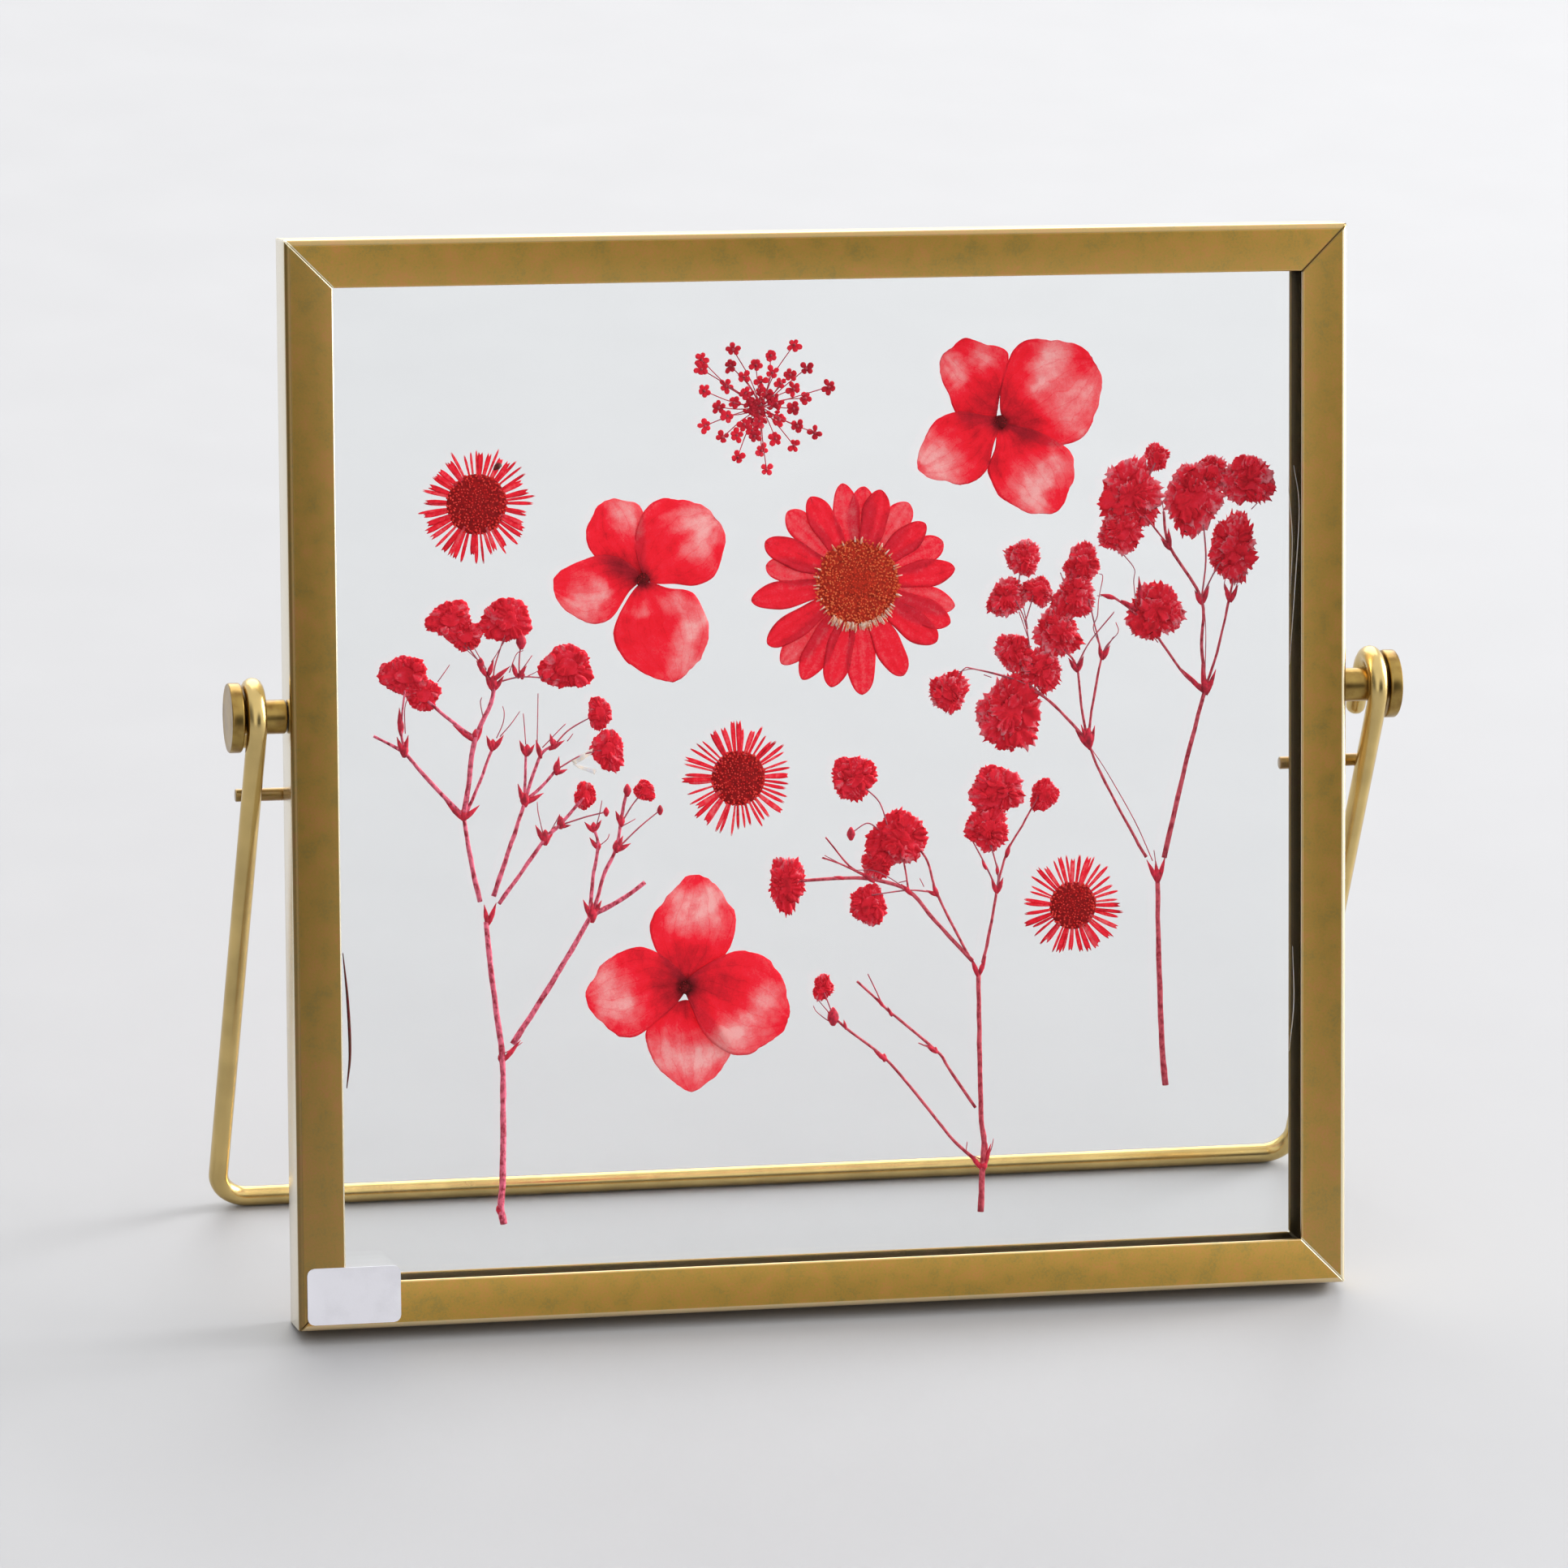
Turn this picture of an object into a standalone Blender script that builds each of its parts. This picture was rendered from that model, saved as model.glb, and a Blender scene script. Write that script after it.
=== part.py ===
"""A table-top frame of brass channel with two panes, pressed flowers between them and a folding wire stand.

The frame leans back on the rear edge of its bottom rail and on the bar of its stand. X runs along its
width, the front faces -Y, and the origin is in the middle of its footprint, on the table.
"""
import math

import bmesh
import bpy
from mathutils import Matrix, Vector

MM = 0.001

# Frame: a square of U channel, its opening towards the middle
SIDE = 150 * MM
DEPTH = 8.2 * MM
LIP = 6.6 * MM
SHEET = 0.7 * MM
OUTER_ROUND = 1.0 * MM
LIP_ROUND = 0.25 * MM
LEAN = math.radians(15.3)

# Clear distance between pieces that touch in the real frame
GAP = 0.3 * MM

# Panes, and the flowers' plane midway between them
PANE_THICK = 2.4 * MM
PANE_MARGIN = 0.6 * MM
PANE_EDGE = 0.3 * MM
FLOWER_PLANE = DEPTH / 2

# Stand: a wire with a hook over each knob's shank
WIRE_RADIUS = 1.4 * MM
LEG_X = 79.6 * MM
BEND_RADIUS = 4.5 * MM
HOOK_TAIL = 8.0 * MM
OPENING = math.radians(31.9)

# Knobs: a shank and a flat head, turned in one piece
KNOB_HEIGHT = 84.8 * MM
SHANK_RADIUS = 2.35 * MM
HEAD_RADIUS = 4.8 * MM
HEAD_INNER_X = 81.3 * MM
HEAD_OUTER_X = 83.1 * MM
HEAD_ROUND = 0.4 * MM
TURNED_STEPS = 16

# Stop pins: rods across the back lips
PIN_RADIUS = 0.9 * MM
PIN_INNER_X = 67.4 * MM
PIN_OUTER_X = 81.4 * MM
PIN_EDGE = 0.2 * MM

# Paper label on the lower left corner of the front
LABEL_SIZE = (13.0 * MM, 7.9 * MM)
LABEL_CORNER = (-73.8 * MM, 0.95 * MM)
LABEL_ROUND = 1.0 * MM
LABEL_THICK = 0.15 * MM

# Thickness of what is pressed: each shape of a flower is a little thicker than the one before, so that
# no two faces lie in one plane where they are joined
PETAL_THICK = 0.40 * MM
DISC_THICK = 0.80 * MM
STEM_FLAT = 0.5
THICKER = 0.03 * MM

WELD = 0.00001


# Outlines and points on the pane, as (across, up) in millimetres from the middle of the frame's lower edge

HYDRANGEAS = {
    "hydrangea_right": [
        [(25.4, 125.4), (27.0, 132.2), (24.0, 133.9), (20.3, 134.4), (17.0, 131.4), (18.2, 127.4),
         (20.2, 123.6), (25.0, 122.6)],
        [(25.6, 122.9), (26.0, 128.5), (28.0, 133.4), (31.0, 134.4), (35.4, 134.0), (39.2, 131.6),
         (40.4, 127.8), (39.0, 122.8), (36.0, 119.8), (31.0, 120.0)],
        [(26.0, 122.6), (24.9, 119.2), (23.9, 115.8), (26.6, 111.8), (30.6, 109.9), (34.2, 110.6),
         (36.3, 114.6), (35.8, 118.6), (31.5, 121.4)],
        [(25.4, 123.2), (24.7, 119.8), (23.6, 116.2), (20.3, 114.5), (15.2, 115.6), (13.8, 118.4),
         (16.0, 122.9), (19.2, 124.6), (22.5, 124.2)],
    ],
    "hydrangea_left": [
        [(-25.4, 102.4), (-24.6, 107.0), (-25.2, 112.0), (-28.8, 113.6), (-32.0, 111.8), (-33.0, 108.2),
         (-31.0, 105.0)],
        [(-24.6, 102.3), (-26.2, 107.5), (-24.6, 112.2), (-21.3, 113.5), (-16.6, 112.2), (-13.6, 108.6),
         (-14.6, 103.2), (-17.4, 101.4), (-20.5, 101.6)],
        [(-25.4, 102.8), (-28.6, 105.5), (-32.6, 105.7), (-37.2, 103.2), (-37.0, 99.9), (-33.4, 96.7),
         (-29.8, 97.0), (-27.2, 100.6)],
        [(-25.2, 102.0), (-27.8, 99.0), (-29.4, 94.6), (-27.0, 90.7), (-21.5, 88.0), (-17.3, 90.9),
         (-16.0, 95.6), (-18.0, 100.2), (-21.6, 101.1)],
    ],
    "hydrangea_low": [
        [(-19.8, 43.6), (-23.6, 41.6), (-25.3, 38.6), (-23.6, 34.4), (-19.2, 30.8), (-15.0, 33.2),
         (-13.2, 37.0), (-16.4, 42.0)],
        [(-19.2, 45.6), (-23.0, 49.4), (-24.5, 54.6), (-20.6, 59.8), (-17.4, 60.9), (-13.9, 58.0),
         (-12.3, 54.0), (-13.9, 49.8), (-17.4, 47.6)],
        [(-19.4, 46.4), (-22.4, 49.6), (-26.5, 51.3), (-31.2, 49.1), (-33.7, 44.6), (-31.2, 40.4),
         (-27.4, 38.6), (-23.6, 40.9), (-20.4, 43.8)],
        [(-19.6, 46.2), (-15.0, 49.4), (-11.0, 50.2), (-6.9, 48.1), (-4.8, 42.2), (-6.6, 38.3),
         (-12.0, 35.5), (-16.6, 38.2), (-18.8, 42.6)],
    ],
}

HEART_RADIUS = 1.3

# Daisy: each petal's direction in degrees and its length from the middle
DAISY_MIDDLE = (5.2, 101.1)
DAISY_DISC = 5.8
DAISY_PETAL_START = 3.0
DAISY_HALF_WIDTH = 1.75
DAISY_PETALS = [
    (6, 14.0), (-14, 14.4), (23, 13.4), (-24, 14.5), (40, 12.6), (-38, 14.1), (56, 13.2), (-64, 14.6),
    (74, 13.3), (-87, 15.6), (86, 13.4), (-106, 14.9), (99, 14.0), (-134, 15.4), (119, 13.8), (-122, 15.4),
    (134, 14.1), (-148, 15.2), (168, 13.2), (155, 14.4), (-173, 15.2),
]

# Asters: middle, radius of the disc, length of the rays, number of rays; the rays start inside the disc
RAY_OVERLAP = 0.15
ASTERS = {
    "aster_left": ((-48.3, 113.3), 4.2, 7.5, 32),
    "aster_middle": ((-11.9, 74.4), 3.8, 7.4, 30),
    "aster_right": ((36.0, 54.9), 3.35, 6.7, 28),
}

# Umbel: its middle, with the crowded inner florets as one disc, and the florets at the ends of its rays
UMBEL_MIDDLE = (-8.3, 126.0)
UMBEL_DISC = 2.8
UMBEL_FLORET = 1.05
UMBEL_RAY = 0.3
UMBEL_THICK = 0.70 * MM
UMBEL_FLORETS = [
    (-12.2, 133.8), (-3.6, 134.3), (-6.9, 132.9), (-9.0, 131.6), (-12.6, 131.6), (-16.7, 131.2),
    (-6.7, 130.5), (-10.7, 130.0), (-4.2, 130.2), (-1.9, 131.0), (-3.7, 128.2), (-13.2, 128.8),
    (-16.3, 128.2), (1.3, 128.4), (-2.0, 126.9), (-14.3, 125.9), (-3.7, 125.5), (-13.1, 124.7),
    (-16.2, 123.4), (-3.2, 123.1), (-11.8, 122.0), (-13.7, 121.8), (-9.3, 121.8), (-6.3, 121.4),
    (-0.7, 122.1), (-3.7, 120.4), (-8.3, 119.8), (-11.7, 118.9), (-7.6, 117.2),
]

# Sprigs, split at their main forks. A stalk is its width and its points; a blossom is its middle, its
# width and its height.
SPRIGS = {
    "sprig_left_stem": (
        [(0.95, [(-45.6, 13.3), (-46.0, 15.6), (-45.7, 20.0), (-45.6, 30.0), (-45.6, 36.5), (-46.2, 42.0),
                 (-47.2, 50.0), (-47.6, 55.6)])],
        [(-46.1, 15.4, 1.8, 1.9), (-45.6, 36.6, 1.9, 1.9)],
    ),
    "sprig_left_branch_right": (
        [(0.85, [(-44.1, 38.4), (-40.0, 44.5), (-36.5, 50.0), (-32.8, 56.0)]),
         (0.75, [(-32.8, 56.0), (-28.5, 58.1), (-25.3, 60.3)]),
         (0.55, [(-33.0, 56.5), (-32.5, 62.0), (-31.8, 65.5), (-32.4, 68.2)]),
         (0.55, [(-32.5, 56.5), (-30.8, 62.0), (-29.3, 65.0), (-28.4, 69.5), (-27.7, 73.0)]),
         (0.35, [(-28.6, 68.4), (-27.0, 71.0), (-25.3, 73.0)]),
         (0.35, [(-29.0, 65.2), (-26.0, 68.0), (-23.0, 70.3)])],
        [(-32.7, 56.2, 1.9, 2.9), (-31.8, 65.6, 1.6, 1.4), (-32.4, 68.2, 2.4, 1.5), (-29.2, 65.4, 1.6, 1.8),
         (-28.5, 69.0, 1.4, 1.8), (-27.6, 73.2, 1.5, 1.8), (-25.1, 73.0, 3.2, 2.9), (-23.0, 70.3, 1.6, 1.4)],
    ),
    "sprig_left_branch_inner": (
        [(0.6, [(-45.8, 58.0), (-43.4, 61.3), (-39.3, 66.8), (-37.3, 68.6), (-33.8, 72.4)]),
         (0.35, [(-37.3, 68.6), (-33.5, 69.7), (-30.6, 70.3)])],
        [(-39.2, 67.0, 2.2, 2.2), (-37.0, 69.0, 1.6, 1.8), (-33.5, 72.6, 3.2, 3.8), (-30.6, 70.3, 1.6, 1.3)],
    ),
    "sprig_left_branch_middle": (
        [(0.7, [(-46.6, 59.1), (-44.5, 65.0), (-42.0, 72.2)]),
         (0.45, [(-42.0, 72.2), (-42.0, 75.0), (-41.8, 79.2)]),
         (0.5, [(-42.0, 72.2), (-39.9, 78.2), (-37.6, 80.0)]),
         (0.35, [(-37.6, 80.0), (-35.5, 82.0), (-31.6, 84.0)]),
         (0.5, [(-42.0, 72.2), (-39.5, 74.2), (-37.5, 76.4)]),
         (0.35, [(-37.5, 76.4), (-34.0, 78.3), (-30.4, 79.0)])],
        [(-42.0, 72.4, 1.9, 2.2), (-41.6, 79.2, 1.9, 1.7), (-37.8, 79.9, 1.8, 1.4), (-37.5, 76.6, 1.4, 1.9),
         (-31.4, 84.0, 3.6, 4.5), (-30.2, 78.8, 4.4, 6.2)],
    ),
    "sprig_left_branch_outer": (
        [(0.75, [(-48.4, 58.4), (-49.5, 63.0), (-50.6, 70.3)]),
         (0.65, [(-50.6, 70.3), (-55.5, 75.5), (-58.8, 79.5)]),
         (0.5, [(-58.8, 79.5), (-63.0, 81.8)]),
         (0.45, [(-58.8, 79.5), (-59.2, 83.0), (-58.6, 88.0)]),
         (0.75, [(-50.6, 70.3), (-49.8, 75.5), (-48.9, 81.0), (-46.6, 86.0), (-46.2, 88.6)]),
         (0.5, [(-50.2, 70.8), (-48.3, 75.0), (-46.4, 79.8)]),
         (0.55, [(-48.9, 81.0), (-52.5, 83.8), (-55.4, 86.4)]),
         (0.4, [(-46.2, 88.6), (-48.2, 91.6), (-50.4, 94.6)]),
         (0.4, [(-46.2, 88.6), (-46.0, 91.0), (-44.4, 95.6)]),
         (0.4, [(-46.2, 88.6), (-42.2, 89.4), (-37.0, 88.8)]),
         (0.35, [(-42.6, 89.6), (-42.6, 91.6), (-42.3, 94.2)])],
        [(-50.6, 70.6, 2.0, 1.8), (-58.8, 79.8, 1.7, 2.2), (-59.2, 83.0, 1.2, 2.6), (-48.8, 81.5, 1.9, 1.7),
         (-46.4, 80.1, 1.7, 1.6), (-46.3, 88.6, 1.7, 2.2), (-48.0, 91.4, 2.2, 1.6), (-42.2, 89.6, 1.8, 1.2),
         (-58.6, 90.0, 6.6, 5.8), (-56.0, 87.2, 4.6, 4.8), (-52.2, 97.6, 6.7, 5.0), (-50.1, 95.2, 5.0, 4.4),
         (-44.3, 97.2, 7.7, 6.0), (-42.3, 94.3, 2.6, 2.3), (-36.0, 90.5, 8.2, 5.8)],
    ),
    "sprig_middle_stem": (
        [(0.85, [(22.5, 12.0), (22.8, 18.4), (23.0, 22.0), (22.6, 26.0), (22.4, 36.0), (22.3, 45.8)])],
        [(22.9, 18.6, 1.6, 1.9), (23.1, 21.2, 1.3, 3.6)],
    ),
    "sprig_middle_twig_low": (
        [(0.55, [(21.4, 19.6), (18.0, 23.0), (13.3, 29.0), (8.8, 34.3), (3.2, 38.8), (1.4, 40.5)]),
         (0.3, [(1.4, 40.5), (0.1, 44.0)])],
        [(8.7, 34.4, 1.5, 1.2), (1.4, 40.5, 2.6, 2.6), (0.0, 44.6, 3.0, 3.7)],
    ),
    "sprig_middle_twig_high": (
        [(0.5, [(21.8, 26.8), (18.0, 32.5), (16.1, 35.2), (9.8, 40.6), (8.4, 42.0), (4.9, 45.3)]),
         (0.35, [(16.1, 35.2), (13.6, 36.3)]),
         (0.3, [(8.4, 42.0), (7.5, 44.0), (6.4, 46.3)])],
        [(16.1, 35.2, 1.2, 0.9)],
    ),
    "sprig_middle_branch_left": (
        [(0.7, [(21.4, 47.6), (16.0, 53.5), (12.3, 57.8), (7.0, 59.6), (2.7, 59.9), (-4.0, 59.7)]),
         (0.5, [(20.9, 48.4), (18.6, 52.6), (16.3, 57.4), (15.0, 61.8), (13.6, 64.0)]),
         (0.35, [(16.3, 57.4), (12.3, 57.9), (7.0, 57.4)]),
         (0.4, [(12.3, 57.8), (11.7, 61.7), (10.8, 64.0)]),
         (0.4, [(7.0, 59.6), (3.0, 61.7), (0.0, 62.9)]),
         (0.4, [(5.2, 60.6), (3.4, 62.0), (0.5, 65.7)]),
         (0.35, [(9.4, 66.8), (8.2, 70.3), (6.2, 72.4)]),
         (0.3, [(8.0, 66.6), (6.4, 67.5), (4.2, 66.2)])],
        [(6.6, 56.0, 5.6, 5.6), (10.7, 65.0, 8.8, 7.8),
         (8.0, 61.8, 4.8, 4.4), (4.5, 73.9, 6.0, 6.8), (4.1, 66.1, 1.9, 1.9), (-5.0, 59.4, 5.4, 7.4)],
    ),
    "sprig_middle_branch_right": (
        [(0.6, [(22.9, 47.3), (24.0, 52.0), (25.0, 57.6)]),
         (0.4, [(25.0, 57.6), (23.4, 61.0), (21.6, 64.4)]),
         (0.4, [(25.0, 57.6), (25.1, 60.0), (24.0, 64.4)]),
         (0.45, [(25.0, 57.6), (26.4, 62.6), (28.7, 66.5), (31.0, 70.4)])],
        [(23.7, 66.1, 6.8, 5.8), (25.0, 71.5, 8.6, 6.4),
         (31.9, 70.6, 4.2, 4.6)],
    ),
    "sprig_right_stem": (
        [(0.9, [(49.4, 28.9), (48.9, 35.0), (48.5, 45.0), (48.3, 58.4)])],
        [(48.2, 58.8, 2.2, 2.0)],
    ),
    "sprig_right_branch_left": (
        [(0.55, [(46.6, 61.4), (44.0, 66.0), (40.0, 73.5), (38.2, 78.0)]),
         (0.5, [(38.2, 78.0), (37.3, 83.0), (36.6, 88.6), (34.8, 91.0)]),
         (0.35, [(36.6, 88.6), (38.5, 92.0), (42.0, 96.0)]),
         (0.5, [(38.2, 78.0), (39.2, 85.0), (40.3, 90.2)]),
         (0.35, [(40.3, 90.2), (39.2, 94.4), (38.4, 98.0)]),
         (0.3, [(40.3, 90.2), (42.0, 92.6)]),
         (0.55, [(38.2, 78.0), (33.4, 83.2), (30.0, 85.6)]),
         (0.3, [(29.0, 86.6), (22.0, 88.6), (20.3, 88.6), (18.6, 86.2)]),
         (0.3, [(30.2, 89.0), (29.2, 95.0), (27.6, 98.6)]),
         (0.3, [(29.2, 95.0), (30.4, 98.8)]),
         (0.3, [(28.2, 99.6), (28.6, 103.0)])],
        [(38.3, 78.6, 1.9, 3.0), (18.3, 85.6, 6.0, 5.4),
         (27.0, 82.2, 9.6, 10.2), (31.6, 88.4, 6.2, 6.2), (27.6, 90.8, 5.4, 5.4), (34.0, 93.4, 6.6, 7.0),
         (36.3, 98.2, 6.2, 6.4), (37.5, 103.0, 5.2, 5.6), (26.6, 98.4, 5.6, 5.4), (31.1, 99.2, 4.4, 4.3),
         (29.0, 104.0, 5.4, 4.9)],
    ),
    "sprig_right_branch_right": (
        [(0.8, [(49.2, 61.2), (52.5, 75.0), (55.3, 85.0)]),
         (0.5, [(55.3, 85.0), (52.4, 86.8), (48.4, 92.4)]),
         (0.45, [(46.0, 95.0), (43.6, 97.0), (41.6, 98.3)]),
         (0.55, [(55.3, 85.0), (54.7, 91.0), (54.7, 97.6), (50.0, 105.2), (49.2, 110.0)]),
         (0.4, [(50.0, 105.2), (47.2, 108.6), (45.8, 110.2)]),
         (0.4, [(46.4, 113.6), (48.3, 117.4)]),
         (0.35, [(54.7, 97.6), (55.3, 103.0), (55.0, 108.0)]),
         (0.35, [(54.7, 97.6), (56.4, 101.0), (57.8, 103.2)]),
         (0.5, [(55.3, 85.0), (57.0, 90.0), (58.8, 97.6), (59.6, 101.6)])],
        [(55.3, 85.2, 2.2, 2.2), (58.8, 97.7, 1.4, 1.1), (48.0, 96.0, 7.8, 8.6), (44.6, 112.4, 9.4, 9.2),
         (43.0, 107.4, 6.6, 6.2), (48.3, 117.6, 3.6, 3.8), (53.8, 111.9, 8.4, 10.6), (56.4, 115.6, 4.0, 4.4),
         (61.5, 114.0, 7.8, 7.2), (59.3, 104.6, 6.6, 9.6)],
    ),
}

BRASS = ("antique brass", (0.36, 0.25, 0.09, 1.0), 0.42, 1.0)
BRIGHT_BRASS = ("drawn brass wire", (0.56, 0.42, 0.18, 1.0), 0.30, 1.0)
GLASS = ("clear glass", (0.90, 0.95, 0.94, 0.3), 0.05, 0.0)
PAPER = ("white paper", (0.86, 0.86, 0.88, 1.0), 0.80, 0.0)
PETAL = ("dried red petal", (0.62, 0.03, 0.05, 1.0), 0.75, 0.0)
DISC = ("dried flower disc", (0.26, 0.02, 0.02, 1.0), 0.85, 0.0)
STEM = ("dried red stem", (0.32, 0.03, 0.04, 1.0), 0.80, 0.0)


# Helpers

def clear_scene():
    for thing in list(bpy.data.objects):
        bpy.data.objects.remove(thing, do_unlink=True)


def new_collection(name):
    made = bpy.data.collections.new(name)
    bpy.context.scene.collection.children.link(made)
    return made


def finish_of(kind):
    """The material of a kind, made once: name, colour, roughness and metallic value."""
    name, colour, roughness, metallic = kind
    made = bpy.data.materials.get(name)
    if made is None:
        made = bpy.data.materials.new(name)
        made.use_nodes = True
        surface = made.node_tree.nodes["Principled BSDF"]
        surface.inputs["Base Color"].default_value = colour
        surface.inputs["Roughness"].default_value = roughness
        surface.inputs["Metallic"].default_value = metallic
    return made


def put(name, data, kind, parent, where):
    """An object of the given data in the model's collection, with its finish and its parent."""
    thing = bpy.data.objects.new(name, data)
    data.materials.clear()
    data.materials.append(finish_of(kind))
    thing.parent = parent
    where.objects.link(thing)
    return thing


def axis_empty(name, place, turn, where):
    empty = bpy.data.objects.new(name, None)
    empty.location = place
    empty.rotation_euler = (turn, 0.0, 0.0)
    where.objects.link(empty)
    return empty


def wire_curve(name, row, radius, roundness):
    """A round wire through the points (x, y, z) of a row; a fourth number makes it relatively thinner there."""
    data = bpy.data.curves.new(name, "CURVE")
    data.dimensions = "3D"
    data.use_fill_caps = True
    data.bevel_depth = radius
    data.bevel_resolution = roundness
    line = data.splines.new("POLY")
    line.points.add(len(row) - 1)
    for point, place in zip(line.points, row):
        point.co = (*place[:3], 1.0)
        point.radius = place[3] if len(place) > 3 else 1.0
    return data


def flat_curve(name, outline, thickness, smooth):
    """A filled outline in the XY plane; smooth gives it rounded sides through the same points."""
    data = bpy.data.curves.new(name, "CURVE")
    data.dimensions = "2D"
    data.fill_mode = "BOTH"
    data.extrude = thickness / 2
    if smooth:
        data.resolution_u = 2
        line = data.splines.new("BEZIER")
        line.bezier_points.add(len(outline) - 1)
        for point, place in zip(line.bezier_points, outline):
            point.co = (*place, 0.0)
            point.handle_left_type = point.handle_right_type = "AUTO"
    else:
        line = data.splines.new("POLY")
        line.points.add(len(outline) - 1)
        for point, place in zip(line.points, outline):
            point.co = (*place, 0.0, 1.0)
    line.use_cyclic_u = True
    return data


def mesh_of(curve, name):
    """The closed mesh that a curve makes, with its caps welded on; the curve is removed."""
    holder = bpy.data.objects.new(name, curve)
    bpy.context.scene.collection.objects.link(holder)
    graph = bpy.context.evaluated_depsgraph_get()
    mesh = bpy.data.meshes.new_from_object(holder.evaluated_get(graph))
    mesh.name = name
    bpy.data.objects.remove(holder, do_unlink=True)
    bpy.data.curves.remove(curve)
    work = bmesh.new()
    work.from_mesh(mesh)
    bmesh.ops.remove_doubles(work, verts=work.verts, dist=WELD)
    bmesh.ops.recalc_face_normals(work, faces=work.faces)
    work.to_mesh(mesh)
    work.free()
    return mesh


def arc(middle, radius, start, end, steps):
    """Points of an arc in a plane, from one angle in degrees to another."""
    angles = [math.radians(start + (end - start) * i / steps) for i in range(steps + 1)]
    return [(middle[0] + radius * math.cos(a), middle[1] + radius * math.sin(a)) for a in angles]


# The frame's own pieces

def channel_profile():
    """The U's section as (depth from the front, distance in from the outer face)."""
    corner, edge = OUTER_ROUND, LIP_ROUND
    return (
        arc((corner, corner), corner, 180, 270, 3)
        + arc((DEPTH - corner, corner), corner, 270, 360, 3)
        + arc((DEPTH - edge, LIP - edge), edge, 0, 90, 1)
        + [(DEPTH - SHEET, LIP), (DEPTH - SHEET, SHEET), (SHEET, SHEET), (SHEET, LIP)]
        + arc((edge, LIP - edge), edge, 90, 180, 1)
    )


def rail_mesh():
    """One length of channel along X below the frame's middle, its ends cut at 45 degrees."""
    mesh = mesh_of(flat_curve("rail", channel_profile(), SIDE, False), "rail")
    mesh.transform(Matrix(((0, 0, 1, 0), (1, 0, 0, 0), (0, 1, 0, 0), (0, 0, 0, 1))))
    back_off = GAP / 2 * math.sqrt(2)
    for point in mesh.vertices:
        half = SIDE / 2 - point.co.z - back_off
        point.co.x = math.copysign(half, point.co.x)
        point.co.z -= SIDE / 2
    return mesh


def add_rails(lean, where):
    mesh = rail_mesh()
    for turns, name in enumerate(("rail_bottom", "rail_left", "rail_top", "rail_right")):
        rail = put(name, mesh.copy(), BRASS, lean, where)
        rail.location = (0, 0, SIDE / 2)
        rail.rotation_euler = (0, turns * math.pi / 2, 0)


def add_pane(name, front, lean, where):
    """A square pane with its front face at the given depth."""
    side = SIDE - 2 * (SHEET + PANE_MARGIN)
    mesh = bpy.data.meshes.new(name)
    work = bmesh.new()
    size = Matrix.Diagonal((side, PANE_THICK, side, 1))
    bmesh.ops.create_cube(work, size=1.0, matrix=size)
    work.to_mesh(mesh)
    work.free()
    pane = put(name, mesh, GLASS, lean, where)
    pane.location = (0, front + PANE_THICK / 2, SIDE / 2)
    ground = pane.modifiers.new("ground edges", "BEVEL")
    ground.width = PANE_EDGE
    ground.segments = 1


def add_label(lean, where):
    """A small paper rectangle with round corners, flat on the front lip."""
    wide, high, round_by = *LABEL_SIZE, LABEL_ROUND
    outline = (
        arc((round_by, round_by), round_by, 180, 270, 3)
        + arc((wide - round_by, round_by), round_by, 270, 360, 3)
        + arc((wide - round_by, high - round_by), round_by, 0, 90, 3)
        + arc((round_by, high - round_by), round_by, 90, 180, 3)
    )
    mesh = mesh_of(flat_curve("label", outline, LABEL_THICK, False), "label")
    label = put("label", mesh, PAPER, lean, where)
    label.rotation_euler = (math.pi / 2, 0, 0)
    label.location = (LABEL_CORNER[0], -GAP - LABEL_THICK / 2, LABEL_CORNER[1])


def add_knob(name, side, lean, where):
    """A turned screw whose shank starts at the rail and ends in a flat head."""
    start = SIDE / 2 + GAP
    profile = [
        (HEAD_OUTER_X, 0.0),
        (HEAD_OUTER_X, HEAD_RADIUS - HEAD_ROUND),
        (HEAD_OUTER_X - HEAD_ROUND, HEAD_RADIUS),
        (HEAD_INNER_X + HEAD_ROUND, HEAD_RADIUS),
        (HEAD_INNER_X, HEAD_RADIUS - HEAD_ROUND),
        (HEAD_INNER_X, SHANK_RADIUS),
        (start, SHANK_RADIUS),
        (start, 0.0),
    ]
    mesh = bpy.data.meshes.new(name)
    work = bmesh.new()
    points = [work.verts.new((radius, 0.0, along)) for along, radius in profile]
    for a, b in zip(points, points[1:]):
        work.edges.new((a, b))
    work.to_mesh(mesh)
    work.free()
    knob = put(name, mesh, BRASS, lean, where)
    knob.location = (0, FLOWER_PLANE, KNOB_HEIGHT)
    knob.rotation_euler = (0, side * math.pi / 2, 0)
    turned = knob.modifiers.new("turned", "SCREW")
    turned.axis = "Z"
    turned.steps = turned.render_steps = TURNED_STEPS
    turned.use_merge_vertices = True
    turned.merge_threshold = WELD


def stop_height():
    """How high the stop pins lie, so that the open legs come to rest against them."""
    behind_axis = DEPTH + GAP + PIN_RADIUS - FLOWER_PLANE
    touch = hook_radius() - (WIRE_RADIUS + PIN_RADIUS + GAP)
    return KNOB_HEIGHT - (touch + behind_axis * math.cos(OPENING)) / math.sin(OPENING)


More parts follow.
